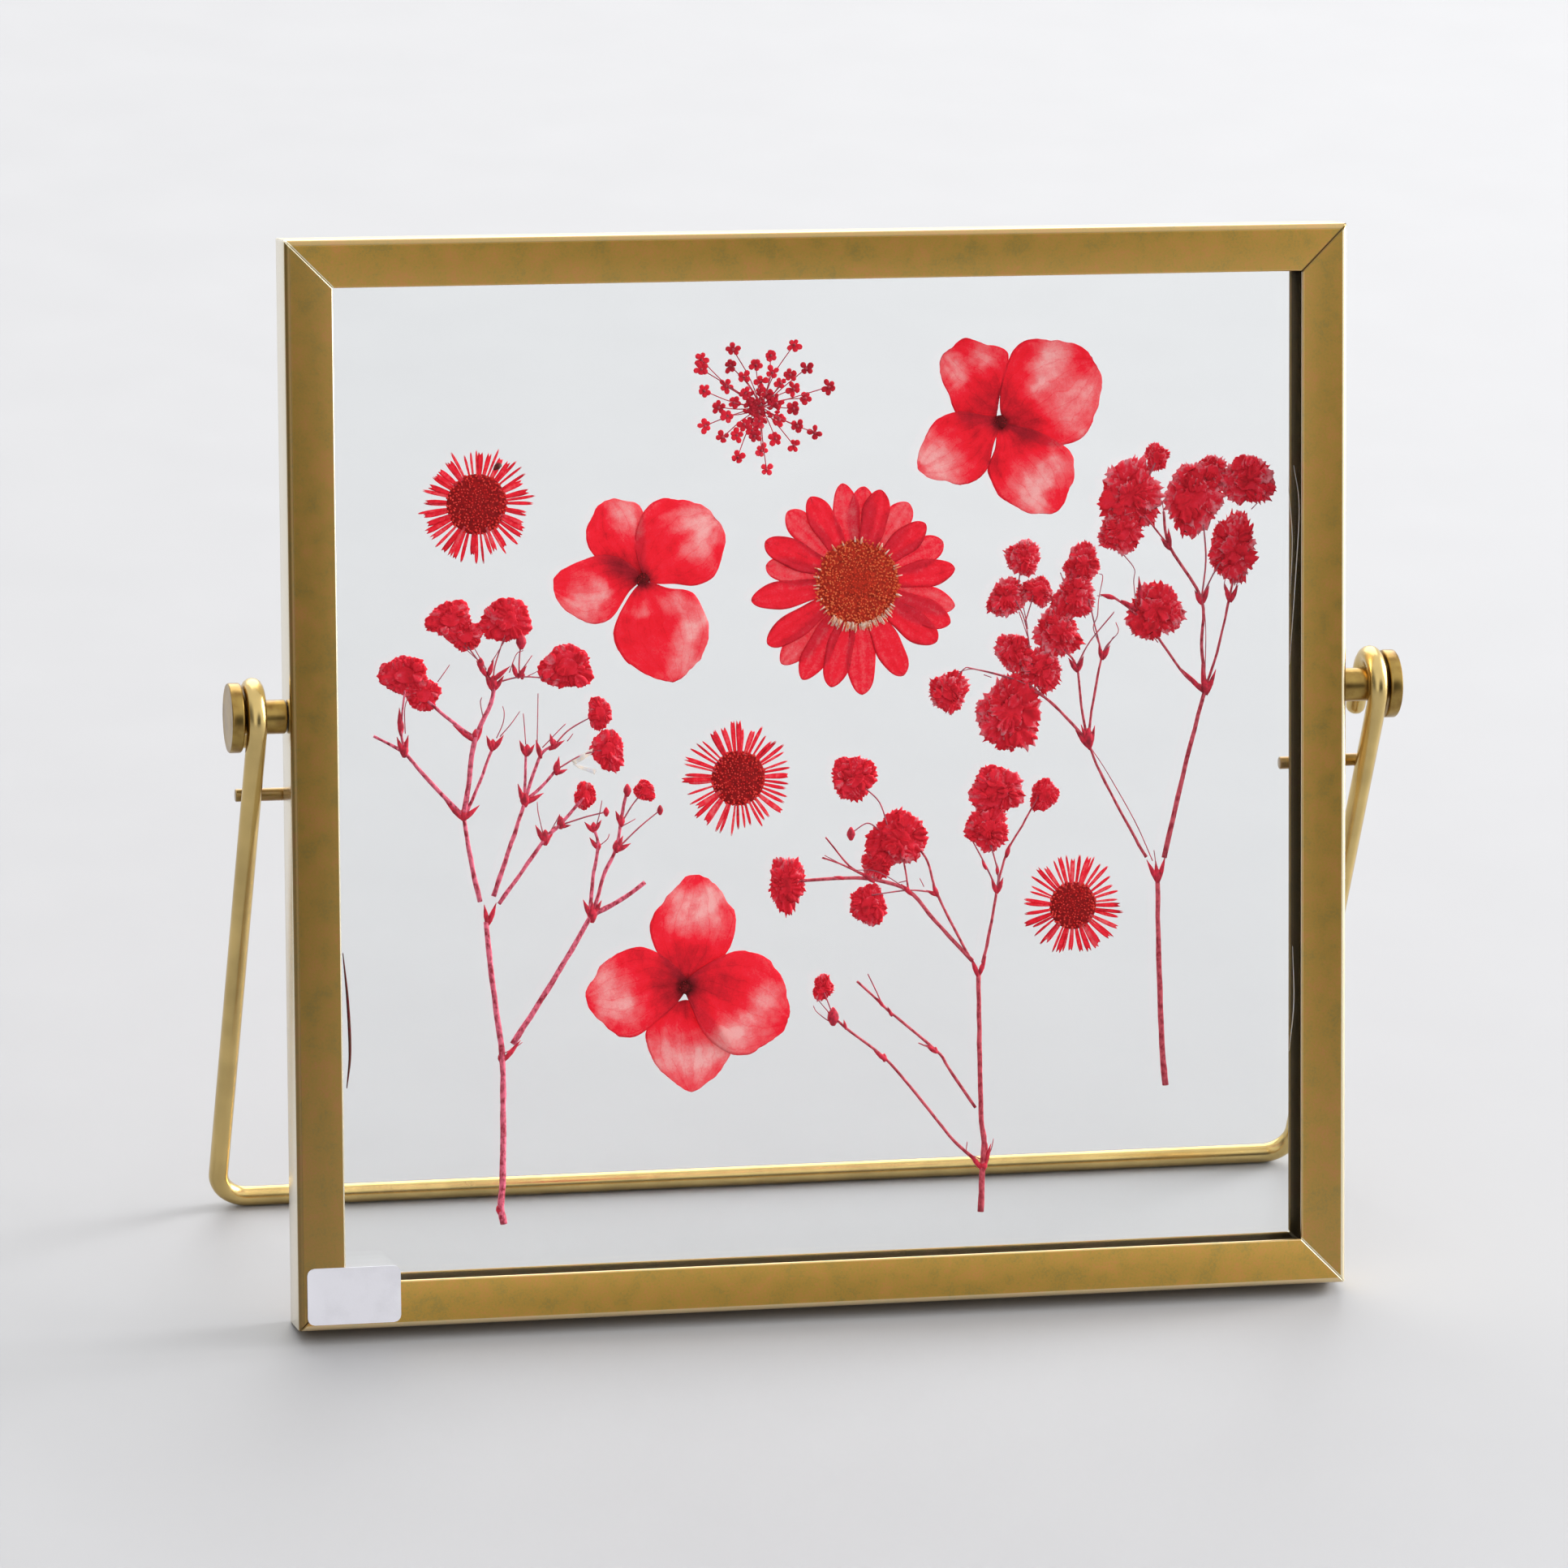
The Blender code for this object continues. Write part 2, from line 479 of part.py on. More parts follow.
def add_stop_pin(name, side, lean, where):
    mesh = bpy.data.meshes.new(name)
    work = bmesh.new()
    bmesh.ops.create_cone(
        work, cap_ends=True, segments=12, radius1=PIN_RADIUS, radius2=PIN_RADIUS,
        depth=PIN_OUTER_X - PIN_INNER_X,
    )
    work.to_mesh(mesh)
    work.free()
    pin = put(name, mesh, BRASS, lean, where)
    pin.rotation_euler = (0, math.pi / 2, 0)
    pin.location = (side * (PIN_INNER_X + PIN_OUTER_X) / 2, DEPTH + GAP + PIN_RADIUS, stop_height())
    pin.modifiers.new("broken edges", "BEVEL").width = PIN_EDGE


# The stand

def hook_radius():
    """From the knob's axis to the middle of the wire around its shank."""
    return SHANK_RADIUS + GAP + WIRE_RADIUS


def stand_side(leg_length):
    """The wire from a hook's free end to the start of the bar, for the right leg, as (x, y, z)."""
    hook = [(LEG_X, hook_radius(), -HOOK_TAIL)]
    hook += [(LEG_X, y, z) for y, z in arc((0, 0), hook_radius(), 0, 180, 9)]
    middle = (LEG_X - BEND_RADIUS, BEND_RADIUS - leg_length)
    bend = [(x, -hook_radius(), z) for x, z in arc(middle, BEND_RADIUS, 0, -90, 5)]
    return hook + bend


def add_stand(axis, leg_length, where):
    """One bent wire: hook, leg, bar, leg and hook, with its origin on the knobs' axis."""
    right = stand_side(leg_length)
    left = [(-x, y, z) for x, y, z in right]
    put("stand", wire_curve("stand", right + left[::-1], WIRE_RADIUS, 2), BRIGHT_BRASS, axis, where)


# The pressed flowers, made flat in the XY plane and then stood up between the panes

def in_metres(points):
    return [(x * MM, y * MM) for x, y in points]


def flat_shape(outline, thickness, smooth=False):
    """A slab of an outline in millimetres, as a mesh."""
    return mesh_of(flat_curve("shape", in_metres(outline), thickness, smooth), "shape")


def stalk_shape(width, points):
    """A flattened tube through the given points, a little thinner at its far end."""
    last = len(points) - 1
    row = [(x * MM, y * MM, 0.0, 1.0 - 0.25 * i / last) for i, (x, y) in enumerate(points)]
    mesh = mesh_of(wire_curve("stalk", row, width * MM / 2, 0), "stalk")
    mesh.transform(Matrix.Diagonal((1, 1, STEM_FLAT, 1)))
    return mesh


def frilled(middle, wide, high, points):
    """An outline of a frilled blossom: an oval whose edge swings in and out."""
    outline = []
    for i in range(points):
        turn = math.tau * i / points
        frill = 1.0 if i % 2 == 0 else 0.88
        across, up = wide / 2 * frill * math.cos(turn), high / 2 * frill * math.sin(turn)
        outline.append((middle[0] + across, middle[1] + up))
    return outline


def petal_outline(direction, reach):
    """A daisy petal's outline: narrow at the disc, widest past its middle, blunt at its tip."""
    shape = [(0.0, 0.55), (0.52, 1.0), (0.86, 0.84), (1.0, 0.3)]
    along = Vector((math.cos(direction), math.sin(direction)))
    across = Vector((-along.y, along.x))
    sides = []
    for sign in (1, -1):
        side = []
        for t, width in shape:
            radius = DAISY_PETAL_START + (reach - DAISY_PETAL_START) * t
            side.append(Vector(DAISY_MIDDLE) + along * radius + across * sign * DAISY_HALF_WIDTH * width)
        sides.append(side)
    return sides[0] + sides[1][::-1]


def star_outline(middle, inner, outer, rays):
    """The outline of a head of thin rays around a disc; every third ray is shorter."""
    outline = []
    step = math.tau / rays
    for i in range(rays):
        reach = outer * (0.9 if i % 3 == 1 else 1.0)
        for radius, aside in ((inner, -0.36), (reach, 0.0), (inner, 0.36)):
            turn = (i + aside) * step
            outline.append((middle[0] + radius * math.cos(turn), middle[1] + radius * math.sin(turn)))
    return outline


def grown_together(name, shapes, cutters):
    """One closed mesh of overlapping flat shapes."""
    if len(shapes) == 1:
        return shapes[0]
    group = bpy.data.collections.new(name + " parts")
    cutters.children.link(group)
    base, *pieces = [bpy.data.objects.new(f"{name} part {i}", mesh) for i, mesh in enumerate(shapes)]
    cutters.objects.link(base)
    for piece in pieces:
        group.objects.link(piece)
    union = base.modifiers.new("grown together", "BOOLEAN")
    union.operation = "UNION"
    union.operand_type = "COLLECTION"
    union.collection = group
    union.solver = "EXACT"
    graph = bpy.context.evaluated_depsgraph_get()
    whole = bpy.data.meshes.new_from_object(base.evaluated_get(graph))
    for piece in [base, *pieces]:
        bpy.data.objects.remove(piece, do_unlink=True)
    bpy.data.collections.remove(group)
    work = bmesh.new()
    work.from_mesh(whole)
    bmesh.ops.dissolve_limit(
        work, angle_limit=math.radians(0.5), verts=work.verts, edges=work.edges, delimit={"NORMAL"},
    )
    bmesh.ops.triangulate(work, faces=work.faces)
    work.to_mesh(whole)
    work.free()
    return whole


def add_pressed(name, shapes, kind, lean, where, cutters):
    """Joins flat shapes into one body and stands it up between the panes."""
    flower = put(name, grown_together(name, shapes, cutters), kind, lean, where)
    flower.rotation_euler = (math.pi / 2, 0, 0)
    flower.location = (0, FLOWER_PLANE, 0)


def hydrangea_shapes(petals):
    """Four broad petals, each a little higher than the one it overlaps."""
    shapes = []
    for i, outline in enumerate(petals):
        mesh = flat_shape(outline, PETAL_THICK, smooth=True)
        mesh.transform(Matrix.Translation((0, 0, (i - 1.5) * 2 * THICKER)))
        shapes.append(mesh)
    heart = Vector(petals[-1][0])
    shapes.append(flat_shape(arc(heart, HEART_RADIUS, 0, 315, 7), UMBEL_THICK))
    return shapes


def daisy_shapes():
    shapes = [flat_shape(arc(DAISY_MIDDLE, DAISY_DISC, 0, 345, 23), DISC_THICK)]
    for i, (direction, reach) in enumerate(DAISY_PETALS):
        outline = petal_outline(math.radians(direction), reach)
        mesh = flat_shape(outline, PETAL_THICK)
        mesh.transform(Matrix.Translation((0, 0, THICKER * (i % 5 - 2))))
        shapes.append(mesh)
    return shapes


def aster_shapes(middle, disc, reach, rays):
    return [
        flat_shape(arc(middle, disc, 0, 342, 19), DISC_THICK),
        flat_shape(star_outline(middle, disc - RAY_OVERLAP, reach, rays), PETAL_THICK),
    ]


def umbel_shapes():
    """A small disc with thin rays, each ending in a floret."""
    middle = Vector(UMBEL_MIDDLE)
    shapes = [flat_shape(frilled(middle, 2 * UMBEL_DISC, 2 * UMBEL_DISC, 12), UMBEL_THICK)]
    for i, place in enumerate(UMBEL_FLORETS):
        start = middle + (Vector(place) - middle).normalized() * UMBEL_DISC * 0.7
        shapes.append(flat_shape(floret_outline(place, i), PETAL_THICK + THICKER * (i % 5)))
        aside = (Vector(place) - middle).orthogonal().normalized() * UMBEL_RAY / 2
        shapes.append(flat_shape([start, Vector(place) - aside, Vector(place) + aside], PETAL_THICK / 2))
    return shapes


def floret_outline(place, i):
    """A tiny floret's outline: three lobes, turned by its place in the umbel."""
    outline = []
    for k in range(6):
        radius = UMBEL_FLORET * (1.0 if k % 2 == 0 else 0.5)
        turn = math.tau * k / 6 + i
        outline.append((place[0] + radius * math.cos(turn), place[1] + radius * math.sin(turn)))
    return outline


def sprig_shapes(stalks, blossoms):
    """A branch: its stalks, and its knots, buds and blossoms as frilled ovals."""
    shapes = [stalk_shape(width, points) for width, points in stalks]
    for i, (x, y, wide, high) in enumerate(blossoms):
        across = max(wide, high)
        points = 6 if across < 3.5 else 8 if across < 6 else 10
        shapes.append(flat_shape(frilled((x, y), wide, high, points), PETAL_THICK + THICKER * (1 + i % 7)))
    return shapes


def add_flowers(lean, where, cutters):
    for name, petals in HYDRANGEAS.items():
        add_pressed(name, hydrangea_shapes(petals), PETAL, lean, where, cutters)
    add_pressed("daisy", daisy_shapes(), PETAL, lean, where, cutters)
    for name, sizes in ASTERS.items():
        add_pressed(name, aster_shapes(*sizes), DISC, lean, where, cutters)
    add_pressed("lace_umbel", umbel_shapes(), PETAL, lean, where, cutters)
    for name, (stalks, blossoms) in SPRIGS.items():
        add_pressed(name, sprig_shapes(stalks, blossoms), STEM, lean, where, cutters)


def main():
    clear_scene()
    where = new_collection("Pressed flower frame")
    cutters = new_collection("Cutters")

    # The lean lifts the frame so that the rounded rear edge of the bottom rail just meets the table
    lift = OUTER_ROUND + (DEPTH - OUTER_ROUND) * math.sin(LEAN) - OUTER_ROUND * math.cos(LEAN)
    axis_y = FLOWER_PLANE * math.cos(LEAN) + KNOB_HEIGHT * math.sin(LEAN)
    axis_z = lift - FLOWER_PLANE * math.sin(LEAN) + KNOB_HEIGHT * math.cos(LEAN)

    # The legs end where their bar lies on the table
    swing = OPENING - LEAN
    leg_length = (axis_z - hook_radius() * math.sin(swing) - WIRE_RADIUS) / math.cos(swing)
    bar_y = axis_y - hook_radius() * math.cos(swing) + leg_length * math.sin(swing)
    front_y = -(GAP + LABEL_THICK) * math.cos(LEAN) + LABEL_CORNER[1] * math.sin(LEAN)
    middle_y = (front_y + bar_y + WIRE_RADIUS) / 2

    lean = axis_empty("frame lean", (0, -middle_y, lift), -LEAN, where)
    stand_axis = axis_empty("stand axis", (0, axis_y - middle_y, axis_z), swing, where)

    add_rails(lean, where)
    add_pane("glass_front", SHEET + GAP, lean, where)
    add_pane("glass_back", DEPTH - SHEET - GAP - PANE_THICK, lean, where)
    add_label(lean, where)
    for name, side in (("left", -1), ("right", 1)):
        add_knob("knob_" + name, side, lean, where)
        add_stop_pin("stop_pin_" + name, side, lean, where)
    add_stand(stand_axis, leg_length, where)
    add_flowers(lean, where, cutters)


main()
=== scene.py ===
"""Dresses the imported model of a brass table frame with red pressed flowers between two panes.

It is laid out like an add-on: one operator makes each piece or group of like pieces, one makes the stage,
and main() calls them in order. Flowers are modelled flat, in millimetres on the pane, and then stood up.
"""

import math
import random

import bmesh
import bpy
from mathutils import Matrix, Vector, noise


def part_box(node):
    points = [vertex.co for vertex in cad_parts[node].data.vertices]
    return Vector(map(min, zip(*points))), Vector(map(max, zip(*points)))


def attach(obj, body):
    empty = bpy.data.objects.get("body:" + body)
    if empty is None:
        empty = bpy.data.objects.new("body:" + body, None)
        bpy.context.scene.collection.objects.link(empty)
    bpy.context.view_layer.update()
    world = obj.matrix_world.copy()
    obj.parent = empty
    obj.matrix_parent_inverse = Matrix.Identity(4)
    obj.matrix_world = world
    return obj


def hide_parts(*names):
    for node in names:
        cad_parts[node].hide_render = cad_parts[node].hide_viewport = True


bl_info = {
    "name": "Pressed flower frame",
    "version": (1, 0, 0),
    "blender": (4, 5, 0),
    "location": "View3D > Sidebar > Pressed flowers",
    "description": "Models and finishes a brass frame of pressed flowers around its packed parts",
    "category": "Object",
}

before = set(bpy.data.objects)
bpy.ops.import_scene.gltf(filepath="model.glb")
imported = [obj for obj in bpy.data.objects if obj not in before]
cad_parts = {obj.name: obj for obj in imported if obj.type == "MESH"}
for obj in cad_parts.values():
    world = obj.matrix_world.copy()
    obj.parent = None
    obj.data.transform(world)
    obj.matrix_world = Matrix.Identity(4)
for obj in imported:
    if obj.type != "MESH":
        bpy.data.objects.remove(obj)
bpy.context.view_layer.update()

MM = 0.001

# Turn of the frame against the table and of the stand against the frame
LEAN = math.radians(15.3)
OPENING = math.radians(31.9)

# Driving sizes in millimetres, which decide where the frame leans and where its stand hangs
DEPTH = 8.2
OUTER_ROUND = 1.0
FLOWER_PLANE = 4.1
SCREW_HEIGHT = 84.8
SHANK_RADIUS = 2.35
HOOK_GAP = 0.3
WIRE_RADIUS = 1.4

# The foremost point, the label's lower front edge: how far before the frame's front face and how far up it
LABEL_FRONT = 0.45
LABEL_LOW = 0.95

# Camera: where it looks from, as turn, tilt and roll about a point near the middle of the pane
VIEW_TURN = math.radians(13.535)
VIEW_TILT = math.radians(21.52)
VIEW_ROLL = math.radians(3.188)
VIEW_DISTANCE = 1050.0 * MM
VIEW_AIM = Vector((0.0, -23.77, 74.77)) * MM
VIEW_ASIDE = -10.28 * MM
VIEW_UP = 5.43 * MM
LENS = 177.06
SENSOR_WIDTH = 36.0

# The room: its soft light, the dim side that the panes mirror into the camera, and the dim left side. Each
# dim side is a direction, and the cosines of the angles at which it starts and at which it is dimmest.
SKY = 1.13
DIM_FRONT = 0.05
DIM_LEFT = 0.15
MIRRORED = ((0.218, -0.966, 0.145), 0.86, 0.985)
DARK_SIDE = ((-0.969, -0.240, -0.053), 0.70, 0.97)
TABLE_SIZE = 6.0

# Lamps: place and size in metres, and power in watts
LAMPS = {
    "window light": ((1.5, 0.15, 0.62), 1.2, 27.0),
    "window pane": ((1.5, 0.30, 0.80), 0.5, 17.0),
    "wall light": ((0.0, 2.2, 1.6), 2.5, 46.0),
}

# Outlines and points on the pane, as (across, up) in millimetres from the middle of the frame's lower edge.
# A hydrangea petal starts at the flower's heart and runs round its edge.
HYDRANGEAS = {
    "hydrangea_right": [
        [(25.2, 125.9), (27.0, 132.2), (24.0, 133.9), (20.3, 134.4), (17.0, 131.4), (18.2, 127.4),
         (20.2, 123.6), (24.8, 123.0)],
        [(26.2, 123.2), (26.0, 128.5), (28.0, 133.4), (31.0, 134.4), (35.4, 134.0), (39.2, 131.6),
         (40.4, 127.8), (39.0, 122.8), (36.0, 119.8), (31.0, 120.0)],
        [(26.0, 122.6), (24.9, 119.2), (23.9, 115.8), (26.6, 111.8), (30.6, 109.9), (34.2, 110.6),
         (36.3, 114.6), (35.8, 118.6), (31.5, 121.4)],
        [(25.4, 123.2), (24.7, 119.8), (23.6, 116.2), (20.3, 114.5), (15.2, 115.6), (13.8, 118.4),
         (16.0, 122.9), (19.2, 124.6), (22.5, 124.2)],
    ],
    "hydrangea_left": [
        [(-25.4, 102.4), (-24.6, 107.0), (-25.2, 112.0), (-28.8, 113.6), (-32.0, 111.8), (-33.0, 108.2),
         (-31.0, 105.0)],
        [(-24.6, 102.3), (-26.2, 107.5), (-24.6, 112.2), (-21.3, 113.5), (-16.6, 112.2), (-13.6, 108.6),
         (-14.6, 103.2), (-17.4, 101.4), (-20.5, 101.6)],
        [(-25.4, 102.8), (-28.6, 105.5), (-32.6, 105.7), (-37.2, 103.2), (-37.0, 99.9), (-33.4, 96.7),
         (-29.8, 97.0), (-27.2, 100.6)],
        [(-25.2, 102.0), (-27.8, 99.0), (-29.4, 94.6), (-27.0, 90.7), (-21.5, 88.0), (-17.3, 90.9),
         (-16.0, 95.6), (-18.0, 100.2), (-21.6, 101.1)],
    ],
    "hydrangea_low": [
        [(-19.8, 43.6), (-23.6, 41.6), (-25.3, 38.6), (-23.6, 34.4), (-19.2, 30.8), (-15.0, 33.2),
         (-13.2, 37.0), (-16.4, 42.0)],
        [(-19.2, 45.6), (-23.0, 49.4), (-24.5, 54.6), (-20.6, 59.8), (-17.4, 60.9), (-13.9, 58.0),
         (-12.3, 54.0), (-13.9, 49.8), (-17.4, 47.6)],
        [(-19.4, 46.4), (-22.4, 49.6), (-26.5, 51.3), (-31.2, 49.1), (-33.7, 44.6), (-31.2, 40.4),
         (-27.4, 38.6), (-23.6, 40.9), (-20.4, 43.8)],
        [(-19.6, 46.2), (-15.0, 49.4), (-11.0, 50.2), (-6.9, 48.1), (-4.8, 42.2), (-6.6, 38.3),
         (-12.0, 35.5), (-16.6, 38.2), (-18.8, 42.6)],
    ],
}
HEARTS = {"hydrangea_right": (25.7, 123.0), "hydrangea_left": (-25.2, 102.3), "hydrangea_low": (-19.5, 45.4)}

# Where the dye took well and where it faded, as (across, up, reach of the patch); the paler patches are
# partly faded dye and partly painted light shining through from behind
DEEP_PATCHES = {
    "hydrangea_right": [
        (20.2, 133.6, 1.9), (21.8, 130.6, 1.4), (23.6, 127.0, 2.2), (38.0, 131.4, 1.9), (29.4, 132.6, 1.4),
        (28.1, 128.0, 2.2), (25.0, 116.5, 1.8), (33.0, 121.0, 2.2), (29.5, 120.4, 2.2), (33.8, 111.6, 1.3),
        (20.3, 123.6, 2.3), (22.6, 117.6, 2.3), (14.6, 116.9, 0.5), (29.0, 124.2, 2.0),
    ],
    "hydrangea_left": [
        (-30.3, 109.4, 1.6), (-31.2, 111.6, 1.2), (-24.6, 110.0, 1.8), (-20.9, 112.9, 1.6),
        (-14.5, 105.9, 1.5), (-21.2, 106.8, 1.4), (-19.4, 108.2, 0.7), (-30.3, 105.0, 2.0),
        (-36.2, 102.2, 1.2), (-26.4, 94.8, 1.8), (-22.2, 95.4, 1.3), (-21.7, 92.4, 1.2), (-23.5, 90.5, 1.2),
        (-28.0, 104.0, 2.0), (-18.6, 103.0, 1.6),
    ],
    "hydrangea_low": [
        (-19.7, 50.2, 2.6), (-23.3, 55.2, 1.4), (-13.4, 55.6, 1.0), (-18.2, 60.4, 0.9), (-27.0, 49.9, 2.1),
        (-33.3, 43.6, 1.1), (-23.7, 46.0, 2.5), (-29.2, 40.1, 0.8), (-23.8, 40.0, 1.7), (-20.0, 43.8, 2.6),
        (-13.8, 46.0, 3.2), (-12.0, 43.0, 1.8), (-16.7, 38.6, 1.7), (-6.5, 40.0, 1.5), (-31.2, 40.8, 0.8),
    ],
}
PALER_PATCHES = {
    "hydrangea_right": [
        (18.9, 131.2, 1.7), (20.4, 129.2, 1.2), (23.1, 131.8, 1.5), (33.6, 132.9, 2.4), (32.0, 130.2, 2.2),
        (30.8, 127.6, 1.5), (38.2, 127.2, 2.4), (35.0, 124.0, 2.0), (33.0, 117.0, 2.4), (30.2, 113.8, 2.2),
        (31.2, 111.4, 1.8), (15.5, 118.8, 2.2), (18.0, 116.1, 2.6), (37.0, 121.4, 1.2),
    ],
    "hydrangea_left": [
        (-27.7, 112.3, 2.0), (-26.7, 110.0, 1.4), (-18.2, 110.4, 2.2), (-15.4, 109.2, 2.0),
        (-17.4, 106.2, 1.8), (-33.8, 99.2, 2.3), (-31.0, 100.6, 1.4), (-19.3, 94.8, 2.0),
        (-19.3, 90.9, 2.1), (-16.9, 96.7, 1.5),
        (-20.4, 99.4, 1.4), (-25.6, 98.0, 1.1),
    ],
    "hydrangea_low": [
        (-20.6, 57.8, 2.0), (-15.6, 58.0, 2.2), (-16.6, 55.2, 2.2), (-20.8, 54.6, 1.2), (-30.7, 47.0, 2.4),
        (-30.2, 42.9, 2.0), (-11.0, 40.0, 2.6), (-8.2, 43.4, 1.7), (-13.4, 38.4, 1.6), (-22.6, 37.0, 2.4),
        (-18.6, 34.6, 2.8), (-16.0, 36.6, 2.0), (-27.4, 43.6, 1.4),
    ],
}

# Daisy: each petal's direction in degrees, its length from the middle and its layer, 0 behind and 1 in front
DAISY_MIDDLE = (5.2, 101.1)
DAISY_DISC = 5.8
DAISY_HALF_WIDTH = 1.95
DAISY_PETALS = [
    (6, 14.0, 0.9), (-14, 14.4, 0.2), (23, 13.4, 0.5), (-24, 14.5, 0.7), (40, 12.6, 1.0), (-38, 14.1, 0.9),
    (56, 13.2, 0.0), (-64, 14.6, 0.8), (74, 13.3, 1.0), (-87, 15.6, 0.5), (86, 13.4, 0.3), (-106, 14.9, 0.8),
    (99, 14.0, 0.4), (-134, 15.4, 0.1), (119, 13.8, 0.9), (-122, 15.4, 0.7), (134, 14.1, 0.3),
    (-148, 15.2, 1.0), (168, 13.2, 0.2), (155, 14.4, 1.0), (-173, 15.2, 0.9),
]

# Asters: middle, radius of the disc, length of the rays, number of rays
ASTERS = {
    "aster_left": ((-48.3, 113.3), 4.15, 7.7, 48),
    "aster_middle": ((-11.9, 74.4), 3.8, 7.6, 44),
    "aster_right": ((36.0, 54.9), 3.35, 7.0, 40),
}

# Umbel: its middle, and the florets at the ends of its rays
UMBEL_MIDDLE = (-8.3, 125.8)
UMBEL_FLORETS = [
    (-12.2, 133.8), (-3.6, 134.3), (-6.9, 132.9), (-9.0, 131.6), (-12.6, 131.6), (-16.7, 131.2),
    (-6.7, 130.5), (-10.7, 130.0), (-4.2, 130.2), (-1.9, 131.0), (-3.7, 128.2), (-13.2, 128.8),
    (-16.3, 128.2), (1.3, 128.4), (-2.0, 126.9), (-14.3, 125.9), (-3.7, 125.5), (-13.1, 124.7),
    (-16.2, 123.4), (-3.2, 123.1), (-11.8, 122.0), (-13.7, 121.8), (-9.3, 121.8), (-6.3, 121.4),
    (-0.7, 122.1), (-3.7, 120.4), (-8.3, 119.8), (-11.7, 118.9), (-7.6, 117.2), (-8.3, 129.3),
    (-5.5, 129.1), (-10.5, 127.8), (-7.5, 127.7), (-12.1, 126.5), (-9.8, 126.3), (-6.1, 126.3),
    (-10.7, 123.5), (-8.6, 123.9), (-5.7, 124.0), (-9.6, 122.6), (-16.7, 132.5), (-8.6, 125.2),
]

